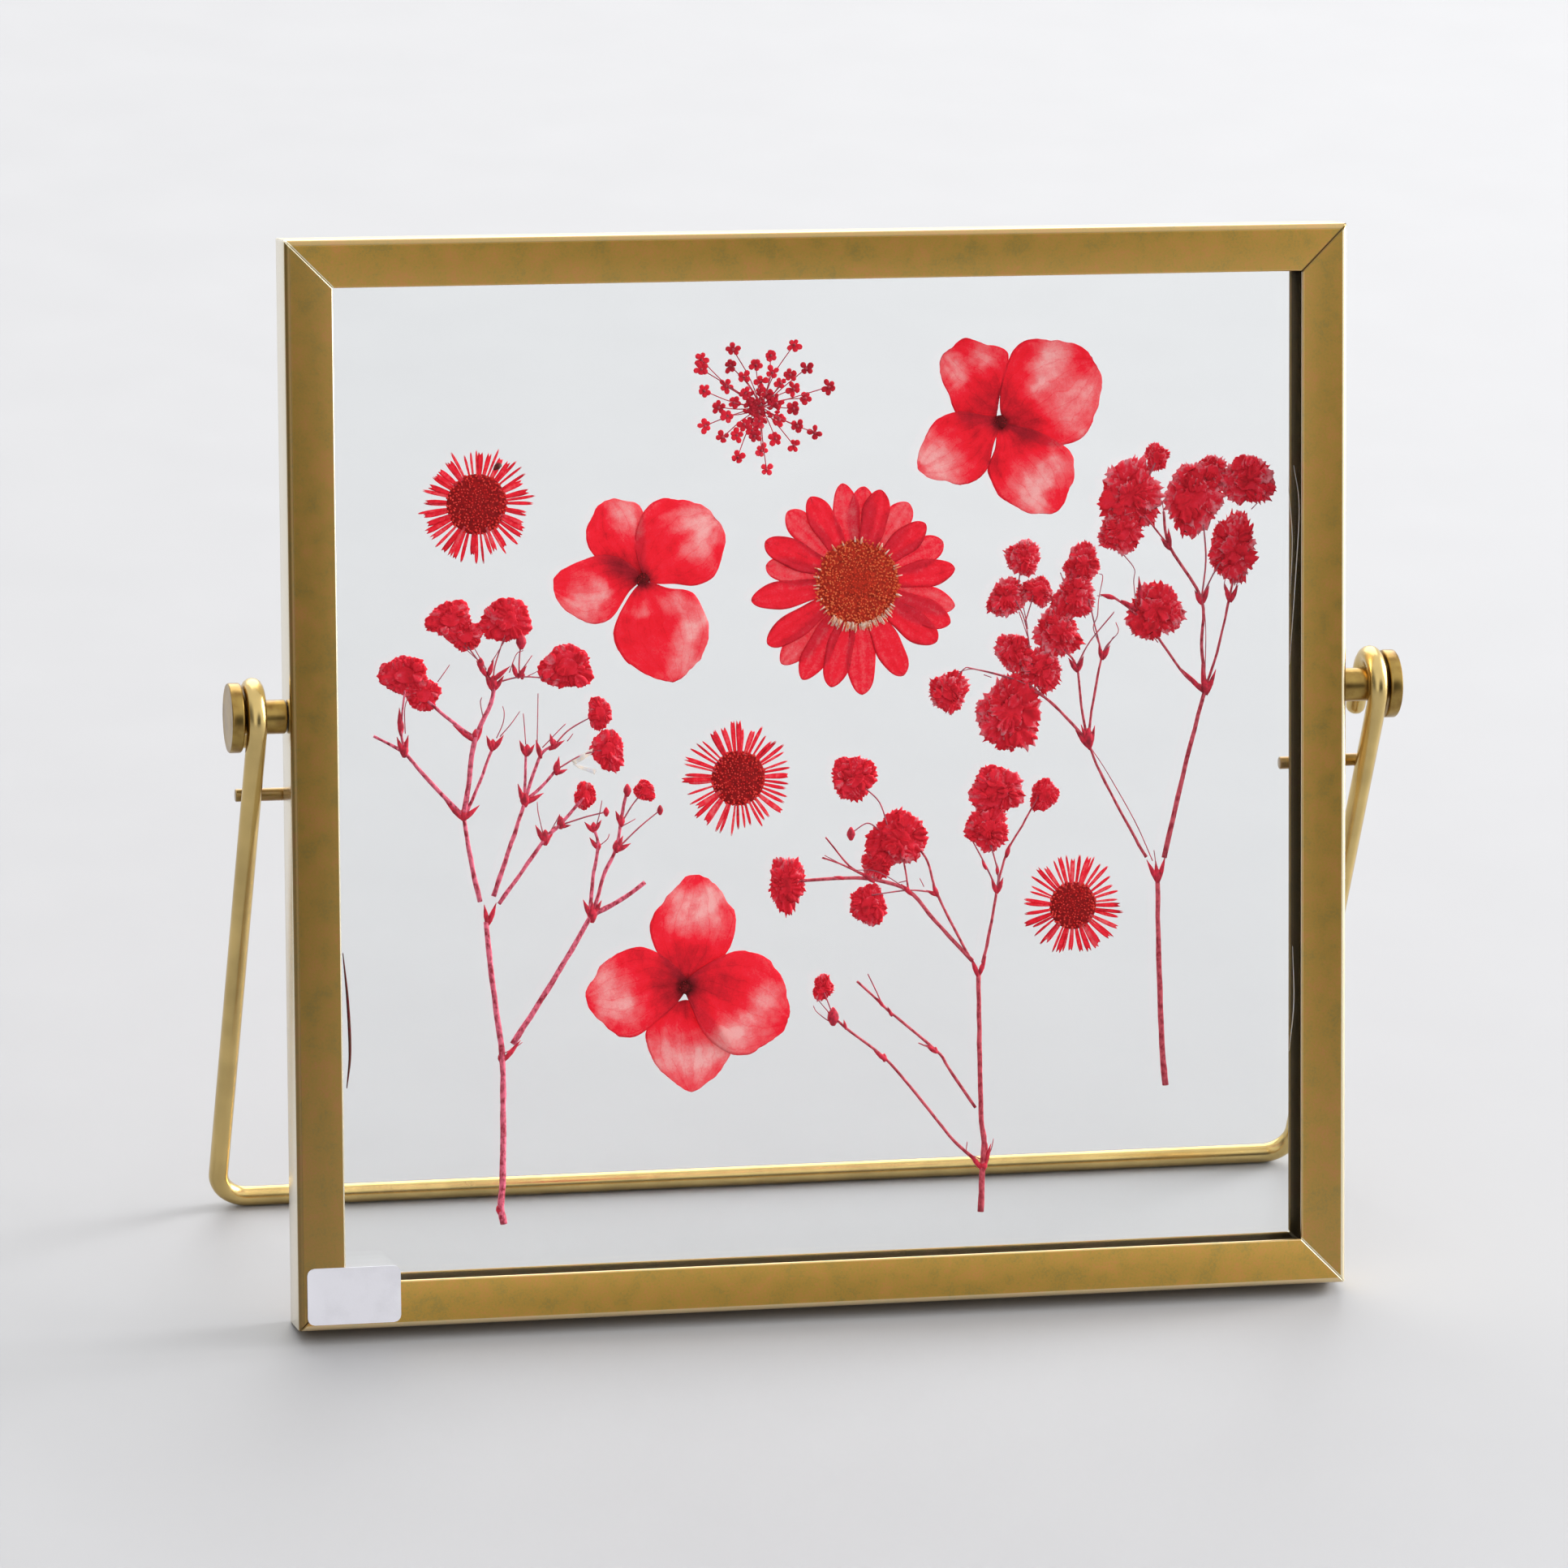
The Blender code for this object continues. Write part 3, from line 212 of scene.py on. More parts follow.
# Sprigs. A stalk is its width and its points, and one under THIN_STALK is a thread. A head is its middle,
# its width and its height, and one under BUD_LIMIT is a knot or a bud, not a blossom.
BUD_LIMIT = 2.7
THIN_STALK = 0.3
SPRIGS = {
    "sprig_left_stem": (
        [(0.95, [(-45.6, 13.3), (-46.0, 15.6), (-45.7, 20.0), (-45.6, 30.0), (-45.6, 36.5), (-46.2, 42.0),
                 (-47.2, 50.0), (-47.6, 55.6)])],
        [(-46.1, 15.4, 1.8, 1.9), (-45.6, 36.6, 1.9, 1.9)],
    ),
    "sprig_left_branch_right": (
        [(0.85, [(-44.1, 38.4), (-40.0, 44.5), (-36.5, 50.0), (-32.8, 56.0)]),
         (0.75, [(-32.8, 56.0), (-28.5, 58.1), (-25.3, 60.3)]),
         (0.55, [(-33.0, 56.5), (-32.5, 62.0), (-31.8, 65.5), (-32.4, 68.2)]),
         (0.55, [(-32.5, 56.5), (-30.8, 62.0), (-29.3, 65.0), (-28.4, 69.5), (-27.7, 73.0)]),
         (0.25, [(-28.6, 68.4), (-27.0, 71.0), (-25.3, 73.0)]),
         (0.25, [(-29.0, 65.2), (-26.0, 68.0), (-23.0, 70.3)])],
        [(-32.7, 56.2, 1.9, 2.6), (-31.8, 65.6, 1.6, 1.4), (-32.4, 68.2, 2.4, 1.5), (-29.2, 65.4, 1.6, 1.8),
         (-28.5, 69.0, 1.4, 1.8), (-27.6, 73.2, 1.5, 1.8), (-25.1, 73.0, 3.2, 2.9), (-23.0, 70.3, 1.6, 1.4)],
    ),
    "sprig_left_branch_inner": (
        [(0.6, [(-45.8, 58.0), (-43.4, 61.3), (-39.3, 66.8), (-37.3, 68.6), (-33.8, 72.4)]),
         (0.25, [(-37.3, 68.6), (-33.5, 69.7), (-30.6, 70.3)])],
        [(-39.2, 67.0, 2.2, 2.2), (-37.0, 69.0, 1.6, 1.8), (-33.5, 72.6, 3.2, 3.8), (-30.6, 70.3, 1.6, 1.3)],
    ),
    "sprig_left_branch_middle": (
        [(0.7, [(-46.6, 59.1), (-44.5, 65.0), (-42.0, 72.2)]),
         (0.45, [(-42.0, 72.2), (-42.0, 75.0), (-41.8, 79.2)]),
         (0.5, [(-42.0, 72.2), (-39.9, 78.2), (-37.6, 80.0)]),
         (0.25, [(-37.6, 80.0), (-35.5, 82.0), (-31.6, 84.0)]),
         (0.5, [(-42.0, 72.2), (-39.5, 74.2), (-37.5, 76.4)]),
         (0.25, [(-37.5, 76.4), (-34.0, 78.3), (-30.4, 79.0)])],
        [(-42.0, 72.4, 1.9, 2.2), (-41.6, 79.2, 1.9, 1.7), (-37.8, 79.9, 1.8, 1.4), (-37.5, 76.6, 1.4, 1.9),
         (-31.4, 84.0, 3.6, 4.5), (-30.2, 78.8, 4.4, 6.2)],
    ),
    "sprig_left_branch_outer": (
        [(0.75, [(-48.4, 58.4), (-49.5, 63.0), (-50.6, 70.3)]),
         (0.65, [(-50.6, 70.3), (-55.5, 75.5), (-58.8, 79.5)]),
         (0.5, [(-58.8, 79.5), (-63.0, 81.8)]),
         (0.35, [(-58.8, 79.5), (-59.2, 83.0), (-58.6, 88.0)]),
         (0.75, [(-50.6, 70.3), (-49.8, 75.5), (-48.9, 81.0), (-46.6, 86.0), (-46.2, 88.6)]),
         (0.5, [(-50.2, 70.8), (-48.3, 75.0), (-46.4, 79.8)]),
         (0.55, [(-48.9, 81.0), (-52.5, 83.8), (-55.4, 86.4)]),
         (0.25, [(-46.2, 88.6), (-48.2, 91.6), (-50.4, 94.6)]),
         (0.25, [(-46.2, 88.6), (-46.0, 91.0), (-44.4, 95.6)]),
         (0.25, [(-46.2, 88.6), (-42.2, 89.4), (-37.0, 88.8)]),
         (0.25, [(-42.6, 89.6), (-42.6, 91.6), (-42.3, 94.2)])],
        [(-50.6, 70.6, 2.0, 1.8), (-58.8, 79.8, 1.7, 2.2), (-59.2, 83.0, 1.2, 2.6), (-48.8, 81.5, 1.9, 1.7),
         (-46.4, 80.1, 1.7, 1.6), (-46.3, 88.6, 1.7, 2.2), (-48.0, 91.4, 2.2, 1.6), (-42.2, 89.6, 1.8, 1.2),
         (-58.6, 90.0, 6.6, 5.8), (-56.0, 87.2, 4.6, 4.8), (-52.2, 97.6, 6.7, 5.0), (-50.1, 95.2, 5.0, 4.4),
         (-44.3, 97.2, 7.7, 6.0), (-42.3, 94.3, 2.6, 2.3), (-36.0, 90.5, 8.2, 5.8)],
    ),
    "sprig_middle_stem": (
        [(0.85, [(22.5, 12.0), (22.8, 18.4), (23.0, 22.0), (22.6, 26.0), (22.4, 36.0), (22.3, 45.8)])],
        [(22.9, 18.6, 1.6, 1.9), (23.1, 21.2, 1.3, 2.6)],
    ),
    "sprig_middle_twig_low": (
        [(0.45, [(21.4, 19.6), (18.0, 23.0), (13.3, 29.0), (8.8, 34.3), (3.2, 38.8), (1.4, 40.5)]),
         (0.22, [(1.4, 40.5), (0.1, 44.0)])],
        [(8.7, 34.4, 1.5, 1.2), (1.4, 40.5, 2.6, 2.6), (0.0, 44.6, 3.0, 3.7)],
    ),
    "sprig_middle_twig_high": (
        [(0.45, [(21.8, 26.8), (18.0, 32.5), (16.1, 35.2), (9.8, 40.6), (8.4, 42.0), (4.9, 45.3)]),
         (0.25, [(16.1, 35.2), (13.6, 36.3)]),
         (0.22, [(8.4, 42.0), (7.5, 44.0), (6.4, 46.3)])],
        [(16.1, 35.2, 1.2, 0.9)],
    ),
    "sprig_middle_branch_left": (
        [(0.6, [(21.4, 47.6), (16.0, 53.5), (12.3, 57.8), (7.0, 59.6), (2.7, 59.9), (-4.0, 59.7)]),
         (0.4, [(20.9, 48.4), (18.6, 52.6), (16.3, 57.4), (15.0, 61.8), (13.6, 64.0)]),
         (0.25, [(16.3, 57.4), (12.3, 57.9), (7.0, 57.4)]),
         (0.3, [(12.3, 57.8), (11.7, 61.7), (10.8, 64.0)]),
         (0.3, [(7.0, 59.6), (3.0, 61.7), (0.0, 62.9)]),
         (0.3, [(5.2, 60.6), (3.4, 62.0), (0.5, 65.7)]),
         (0.25, [(9.4, 66.8), (8.2, 70.3), (6.2, 72.4)]),
         (0.22, [(8.0, 66.6), (6.4, 67.5), (4.2, 66.2)])],
        [(6.6, 56.0, 5.6, 5.6), (10.7, 65.0, 8.8, 7.8), (8.0, 61.8, 4.8, 4.4), (4.5, 73.9, 6.0, 6.8),
         (4.1, 66.1, 1.9, 1.9), (-5.0, 59.4, 5.4, 7.4)],
    ),
    "sprig_middle_branch_right": (
        [(0.5, [(22.9, 47.3), (24.0, 52.0), (25.0, 57.6)]),
         (0.28, [(25.0, 57.6), (23.4, 61.0), (21.6, 64.4)]),
         (0.28, [(25.0, 57.6), (25.1, 60.0), (24.0, 64.4)]),
         (0.35, [(25.0, 57.6), (26.4, 62.6), (28.7, 66.5), (31.0, 70.4)])],
        [(23.7, 66.1, 6.8, 5.8), (25.0, 71.5, 8.6, 6.4), (31.9, 70.6, 4.2, 4.6)],
    ),
    "sprig_right_stem": (
        [(0.9, [(49.4, 28.9), (48.9, 35.0), (48.5, 45.0), (48.3, 58.4)])],
        [(48.2, 58.8, 2.2, 2.0)],
    ),
    "sprig_right_branch_left": (
        [(0.45, [(46.6, 61.4), (44.0, 66.0), (40.0, 73.5), (38.2, 78.0)]),
         (0.4, [(38.2, 78.0), (37.3, 83.0), (36.6, 88.6), (34.8, 91.0)]),
         (0.25, [(36.6, 88.6), (38.5, 92.0), (42.0, 96.0)]),
         (0.4, [(38.2, 78.0), (39.2, 85.0), (40.3, 90.2)]),
         (0.25, [(40.3, 90.2), (39.2, 94.4), (38.4, 98.0)]),
         (0.22, [(40.3, 90.2), (42.0, 92.6)]),
         (0.45, [(38.2, 78.0), (33.4, 83.2), (30.0, 85.6)]),
         (0.22, [(29.0, 86.6), (22.0, 88.6), (20.3, 88.6), (18.6, 86.2)]),
         (0.22, [(30.2, 89.0), (29.2, 95.0), (27.6, 98.6)]),
         (0.22, [(29.2, 95.0), (30.4, 98.8)]),
         (0.22, [(28.2, 99.6), (28.6, 103.0)])],
        [(38.3, 78.6, 1.9, 2.6), (18.3, 85.6, 6.0, 5.4), (27.0, 82.2, 9.6, 10.2), (31.6, 88.4, 6.2, 6.2),
         (27.6, 90.8, 5.4, 5.4), (34.0, 93.4, 6.6, 7.0), (36.3, 98.2, 6.2, 6.4), (37.5, 103.0, 5.2, 5.6),
         (26.6, 98.4, 5.6, 5.4), (31.1, 99.2, 4.4, 4.3), (29.0, 104.0, 5.4, 4.9)],
    ),
    "sprig_right_branch_right": (
        [(0.75, [(49.2, 61.2), (52.5, 75.0), (55.3, 85.0)]),
         (0.45, [(55.3, 85.0), (52.4, 86.8), (48.4, 92.4)]),
         (0.35, [(46.0, 95.0), (43.6, 97.0), (41.6, 98.3)]),
         (0.5, [(55.3, 85.0), (54.7, 91.0), (54.7, 97.6), (50.0, 105.2), (49.2, 110.0)]),
         (0.3, [(50.0, 105.2), (47.2, 108.6), (45.8, 110.2)]),
         (0.28, [(46.4, 113.6), (48.3, 117.4)]),
         (0.28, [(54.7, 97.6), (55.3, 103.0), (55.0, 108.0)]),
         (0.28, [(54.7, 97.6), (56.4, 101.0), (57.8, 103.2)]),
         (0.4, [(55.3, 85.0), (57.0, 90.0), (58.8, 97.6), (59.6, 101.6)])],
        [(55.3, 85.2, 2.2, 2.2), (58.8, 97.7, 1.4, 1.1), (48.0, 96.0, 7.8, 8.6), (44.6, 112.4, 9.4, 9.2),
         (43.0, 107.4, 6.6, 6.2), (48.3, 117.6, 3.6, 3.8), (53.8, 111.9, 8.4, 10.6), (56.4, 115.6, 4.0, 4.4),
         (61.5, 114.0, 7.8, 7.2), (59.3, 104.6, 6.6, 9.6)],
    ),
}

# Hair-thin threads that the photograph's view shows beside the main stalks, by the node they belong to
THREADS = {
    "sprig_left_stem": [[(-45.6, 37.0), (-43.6, 38.0), (-42.7, 38.6)]],
    "sprig_left_branch_right": [
        [(-32.0, 68.5), (-31.6, 70.0), (-31.2, 71.9)], [(-28.3, 68.3), (-26.5, 69.2)],
        [(-31.6, 65.6), (-30.5, 66.5), (-30.2, 67.2)],
    ],
    "sprig_left_branch_inner": [
        [(-39.5, 67.4), (-40.2, 70.5), (-40.3, 72.0)], [(-38.6, 67.6), (-37.2, 70.0)],
    ],
    "sprig_left_branch_middle": [
        [(-41.8, 80.0), (-42.0, 83.0), (-42.1, 84.3)], [(-40.2, 80.0), (-40.1, 84.0), (-40.0, 87.0)],
        [(-39.5, 79.5), (-37.0, 82.0), (-36.2, 82.7)], [(-36.0, 80.3), (-35.2, 81.3)],
    ],
    "sprig_left_branch_outer": [
        [(-58.6, 82.0), (-58.6, 85.7), (-57.6, 88.0)],
        [(-45.9, 81.0), (-45.0, 83.0), (-44.8, 84.5), (-45.0, 85.4)],
        [(-45.4, 81.2), (-43.8, 83.0), (-42.6, 84.6)], [(-47.7, 83.7), (-48.1, 85.9), (-47.9, 86.7)],
        [(-48.3, 91.8), (-49.8, 93.2), (-50.5, 94.0)], [(-46.5, 91.5), (-44.5, 94.6)],
        [(-44.0, 90.0), (-43.0, 92.5), (-42.0, 93.0)], [(-41.5, 89.4), (-40.0, 90.1)],
        [(-42.3, 90.3), (-40.8, 92.3)], [(-54.0, 89.0), (-52.3, 91.3)], [(-47.2, 90.5), (-49.0, 93.8)],
    ],
    "sprig_middle_stem": [
        [(22.8, 19.0), (23.9, 20.5), (24.4, 22.3)], [(22.7, 19.4), (20.6, 20.5), (20.6, 22.0)],
    ],
    "sprig_middle_twig_low": [
        [(1.0, 39.8), (0.3, 40.2), (-1.0, 41.3), (-1.4, 42.1)], [(1.4, 40.6), (0.6, 41.3), (-0.8, 43.0)],
    ],
    "sprig_middle_branch_left": [
        [(4.5, 61.0), (2.0, 62.2), (-0.1, 62.8)], [(5.0, 60.6), (3.0, 61.7), (0.3, 63.2)],
        [(14.5, 58.3), (13.9, 59.5)], [(12.0, 59.2), (10.9, 59.0)], [(13.0, 57.4), (8.0, 60.6), (4.6, 61.0)],
    ],
    "sprig_right_stem": [[(48.0, 59.0), (48.0, 60.5), (47.8, 62.3)]],
    "sprig_right_branch_left": [
        [(47.6, 60.8), (45.0, 66.5), (41.0, 73.5), (38.7, 77.0)],
        [(40.3, 90.2), (39.7, 92.0), (39.0, 94.0), (39.6, 95.6), (39.8, 98.0), (40.4, 101.0), (39.9, 101.5)],
        [(40.3, 90.2), (41.0, 91.5), (42.6, 93.2), (42.3, 94.6)], [(34.3, 101.8), (34.8, 100.3)],
        [(35.0, 81.5), (33.5, 83.0), (31.0, 85.3), (27.0, 87.3), (22.0, 88.6), (19.6, 88.3)],
        [(23.2, 87.8), (24.3, 87.4)], [(28.3, 96.5), (29.5, 93.0)], [(29.0, 97.0), (29.6, 94.0)],
        [(37.2, 89.5), (38.5, 92.0), (40.5, 94.3), (42.1, 96.1)],
    ],
    "sprig_right_branch_right": [
        [(48.4, 91.6), (45.2, 95.6), (43.8, 96.8), (42.0, 98.2), (39.6, 98.4)],
        [(43.5, 104.0), (45.0, 102.0), (44.9, 100.0), (45.5, 95.0)],
        [(55.2, 86.8), (55.3, 93.0), (55.0, 97.0)], [(49.4, 108.0), (49.0, 111.5)],
        [(58.8, 97.6), (58.0, 99.0), (58.2, 100.6)],
        [(58.8, 97.8), (59.6, 98.8), (60.2, 100.8)], [(62.0, 110.0), (62.8, 110.8)],
    ],
}

# Swollen bases and pointed bracts where stalks fork, as from and to
BRACTS = {
    "sprig_left_stem": [
        ((-45.5, 36.0), (-43.0, 38.9)), ((-47.4, 55.0), (-47.9, 58.0)), ((-47.3, 55.2), (-46.2, 58.2)),
    ],
    "sprig_left_branch_right": [
        ((-32.9, 55.6), (-34.0, 58.2)), ((-32.6, 55.8), (-31.4, 58.0)), ((-32.7, 55.8), (-32.9, 58.6)),
        ((-31.9, 65.2), (-33.0, 66.8)), ((-32.5, 67.6), (-33.7, 69.0)), ((-32.4, 67.6), (-31.3, 69.2)),
        ((-29.3, 64.8), (-27.2, 65.8)), ((-29.2, 65.0), (-28.3, 66.9)), ((-28.5, 68.4), (-29.3, 70.4)),
    ],
    "sprig_left_branch_inner": [
        ((-39.4, 66.4), (-40.6, 68.8)), ((-39.2, 66.4), (-37.8, 68.6)), ((-37.2, 68.2), (-37.2, 70.2)),
        ((-37.2, 68.4), (-35.6, 68.6)),
    ],
    "sprig_left_branch_middle": [
        ((-42.1, 71.6), (-43.0, 74.6)), ((-42.0, 71.8), (-39.4, 73.2)), ((-41.8, 78.4), (-42.7, 80.6)),
        ((-41.7, 78.4), (-40.6, 80.0)), ((-39.7, 78.0), (-40.4, 80.6)), ((-38.6, 79.2), (-36.4, 80.4)),
        ((-37.6, 75.6), (-37.2, 78.2)), ((-37.6, 75.8), (-36.0, 76.4)), ((-37.9, 79.4), (-38.4, 81.4)),
    ],
    "sprig_left_branch_outer": [
        ((-50.7, 69.8), (-48.4, 71.8)), ((-50.7, 69.8), (-53.4, 72.9)), ((-58.9, 79.0), (-58.2, 81.8)),
        ((-58.9, 79.0), (-59.8, 81.6)), ((-59.3, 82.0), (-59.4, 85.6)), ((-48.9, 80.6), (-52.0, 83.0)),
        ((-48.8, 80.6), (-47.7, 83.6)), ((-46.5, 79.2), (-47.3, 81.4)), ((-46.4, 79.4), (-44.9, 81.4)),
        ((-46.4, 87.6), (-47.4, 90.0)), ((-46.2, 87.6), (-44.8, 89.6)), ((-47.2, 89.6), (-48.6, 91.8)),
        ((-47.0, 89.6), (-46.2, 91.8)), ((-42.9, 89.2), (-41.6, 90.9)), ((-43.0, 89.4), (-43.6, 91.4)),
        ((-46.6, 88.8), (-43.9, 90.9)),
    ],
    "sprig_middle_stem": [
        ((22.7, 18.0), (20.7, 20.6)), ((22.9, 18.0), (24.0, 21.6)), ((22.3, 45.2), (21.2, 48.2)),
        ((22.3, 45.4), (23.4, 48.2)),
    ],
    "sprig_middle_twig_low": [
        ((9.1, 34.0), (7.2, 35.4)), ((3.2, 38.6), (2.9, 40.0)), ((1.9, 39.6), (0.6, 41.2)),
    ],
    "sprig_middle_twig_high": [
        ((16.3, 34.8), (14.6, 36.0)), ((9.8, 40.2), (9.2, 41.6)), ((8.6, 41.6), (7.7, 42.9)),
    ],
    "sprig_middle_branch_left": [
        ((12.8, 57.2), (11.2, 58.8)), ((16.5, 56.8), (15.7, 58.8)), ((7.4, 59.2), (5.2, 60.8)),
        ((3.2, 59.8), (1.6, 60.2)), ((16.4, 57.0), (14.8, 57.8)),
    ],
    "sprig_middle_branch_right": [
        ((25.0, 57.0), (24.2, 59.0)), ((25.0, 57.0), (25.9, 59.2)), ((26.3, 62.0), (26.9, 64.0)),
        ((23.5, 60.4), (22.8, 61.8)), ((25.1, 59.6), (25.0, 61.2)),
    ],
    "sprig_right_stem": [
        ((48.4, 57.6), (46.7, 61.0)), ((48.3, 57.6), (49.4, 61.4)), ((48.3, 57.6), (48.0, 60.8)),
    ],
    "sprig_right_branch_left": [
        ((38.5, 76.8), (37.2, 80.4)), ((38.4, 76.8), (39.2, 80.2)), ((38.4, 77.0), (36.4, 79.6)),
        ((36.7, 87.8), (35.4, 89.8)), ((36.7, 87.8), (37.6, 90.0)), ((40.3, 89.4), (39.8, 91.6)),
        ((40.3, 89.4), (41.4, 91.4)), ((42.2, 98.0), (40.0, 98.6)),
    ],
    "sprig_right_branch_right": [
        ((55.2, 84.0), (54.7, 88.4)), ((55.4, 84.0), (56.8, 87.6)), ((55.0, 84.4), (51.8, 87.8)),
        ((54.7, 96.8), (53.7, 98.8)), ((54.8, 96.8), (55.8, 99.4)), ((50.1, 104.6), (49.9, 107.6)),
        ((50.2, 104.6), (48.8, 106.2)), ((58.8, 97.0), (58.1, 99.6)), ((58.9, 97.0), (60.0, 99.4)),
        ((43.0, 97.6), (45.6, 96.2)), ((46.0, 96.8), (45.6, 101.0)),
    ],
}

# Small things between the panes: scraps by their corners, fibres and slivers by width and points
CREAM_SCRAPS = [
    [(-35.6, 77.6), (-34.9, 77.0), (-32.6, 78.4), (-32.4, 79.2)],
    [(-35.4, 77.2), (-34.6, 76.6), (-32.2, 75.6), (-31.9, 76.2)],
]
PALE_FIBRES = [
    (0.14, [(68.1, 116.0), (68.9, 110.0), (68.3, 99.0), (67.5, 88.0)]),
    (0.14, [(68.0, 48.0), (68.2, 40.0), (67.5, 33.0)]),
    (0.10, [(67.2, 114.0), (67.9, 106.0), (67.6, 98.0)]),
]
DARK_SLIVERS = [
    (0.45, [(-67.7, 52.0), (-67.1, 45.0), (-66.9, 38.0), (-67.4, 33.2)]),
    (0.90, [(-45.9, 118.0), (-45.3, 118.5), (-44.8, 118.6)]),
]

# How each sprig's blossoms look: how deep their colour is, how ragged their edge, how faded their tips
SPRIG_LOOK = {
    "sprig_left": (0.06, 0.4, 0.15), "sprig_middle": (0.12, 0.8, 0.5), "sprig_right": (0.10, 1.0, 0.9),
}

# How bright each rail is painted on its lips and outer face, and on its outer bends (painted light and
# shade), and how strong a pale painted highlight is on its bends, its outer face and its front lip's edge
RAIL_LOOK = {
    "rail_bottom": (1.14, 1.15, 0.45, 0.2, 0.2), "rail_left": (0.72, 0.45, 0.0, 0.8, 0.9),
    "rail_top": (1.16, 0.72, 0.1, 0.3, 0.1), "rail_right": (0.94, 1.05, 0.8, 0.4, 0.2),
}
SHEET_BRASS = "antique brass sheet"
# Painted shade inside the channel, on the mitre turned from the light and on the back lip's edge
INSIDE_SHADE = 0.12
MITRE_SHADE = 0.45
BACK_RIM_SHADE = 0.4


# Values that a user would change

def length(name, description, millimetres):
    """A length property whose default is given in millimetres."""
    return bpy.props.FloatProperty(
        name=name, description=description, default=millimetres * MM, min=0.0, precision=5,
        subtype="DISTANCE", unit="LENGTH",
    )


def linear(hex_colour):
    """A linear colour with alpha from an sRGB hex value."""
    channels = [int(hex_colour[i:i + 2], 16) / 255 for i in (0, 2, 4)]
    return [c / 12.92 if c <= 0.04045 else ((c + 0.055) / 1.055) ** 2.4 for c in channels] + [1.0]


def colour(name, description, hex_colour):
    """A colour property whose default is given as sRGB hex."""
    return bpy.props.FloatVectorProperty(
        name=name, description=description, default=linear(hex_colour), size=4, min=0.0, max=1.0,
        subtype="COLOR",
    )


class PressedFrameSizes(bpy.types.PropertyGroup):
    side: length("Side", "Outer width and height of the square frame", 150.0)
    depth: length("Depth", "Depth of the channel from front to back", DEPTH)
    lip: length("Lip", "Width of the channel's lips, seen from the front", 6.6)
    sheet: length("Sheet", "Thickness of the channel's wall", 0.7)
    outer_round: length("Outer rounding", "Radius of the channel's outer bends", OUTER_ROUND)
    edge_round: length("Edge rounding", "Radius of the lips' edges and of the groove at a mitre", 0.32)
    flower_plane: length("Flower plane", "How far behind the front the flowers lie", FLOWER_PLANE)
    knob_height: length("Screw height", "Height of the screws' axis up the frame", SCREW_HEIGHT)
    head_radius: length("Head radius", "Radius of a screw's head", 4.8)
    head_inner: length("Head inner face", "Distance of a head's inner face from the middle", 81.3)
    head_outer: length("Head outer face", "Distance of a head's outer face from the middle", 83.1)
    shank_radius: length("Shank radius", "Radius of a screw's shank", SHANK_RADIUS)
    wire_radius: length("Wire radius", "Radius of the stand's wire", WIRE_RADIUS)
    hook_gap: length("Hook clearance", "Clearance between the hook and the shank", HOOK_GAP)
    leg_x: length("Leg offset", "Distance of the legs from the middle", 79.6)
    bend_radius: length("Bend radius", "Radius of the bend between leg and bar", 4.5)
    hook_tail: length("Hook tail", "Length of the hook's straight end", 8.0)
    pin_radius: length("Pin radius", "Radius of the stop pins", 0.9)
    pin_inner: length("Pin inner end", "Distance of a pin's inner end from the middle", 67.4)
    pin_outer: length("Pin outer end", "Distance of a pin's outer end from the middle", 81.4)
    label_width: length("Label width", "Width of the paper label", 13.0)
    label_height: length("Label height", "Height of the paper label", 7.9)
    label_round: length("Label corners", "Radius of the label's corners", 1.0)
    label_thick: length("Label thickness", "Thickness of the label's paper", 0.16)


class PressedFlowerSizes(bpy.types.PropertyGroup):
    petal: length("Petal thickness", "Thickness of a dried petal", 0.10)
    frill: length("Frill thickness", "Thickness of a blossom's petals", 0.06)
    lift: length("Crumple", "How far a petal rises and falls", 0.16)
    layer: length("Layer step", "Distance between a petal and the one over it", 0.14)
    thread: length("Thread", "Thickness of the thinnest stalks", 0.16)
    floret: length("Disc floret", "Size of one floret on a daisy's disc", 0.42)
    lace: length("Lace floret", "Reach of one floret of the umbel", 1.15)


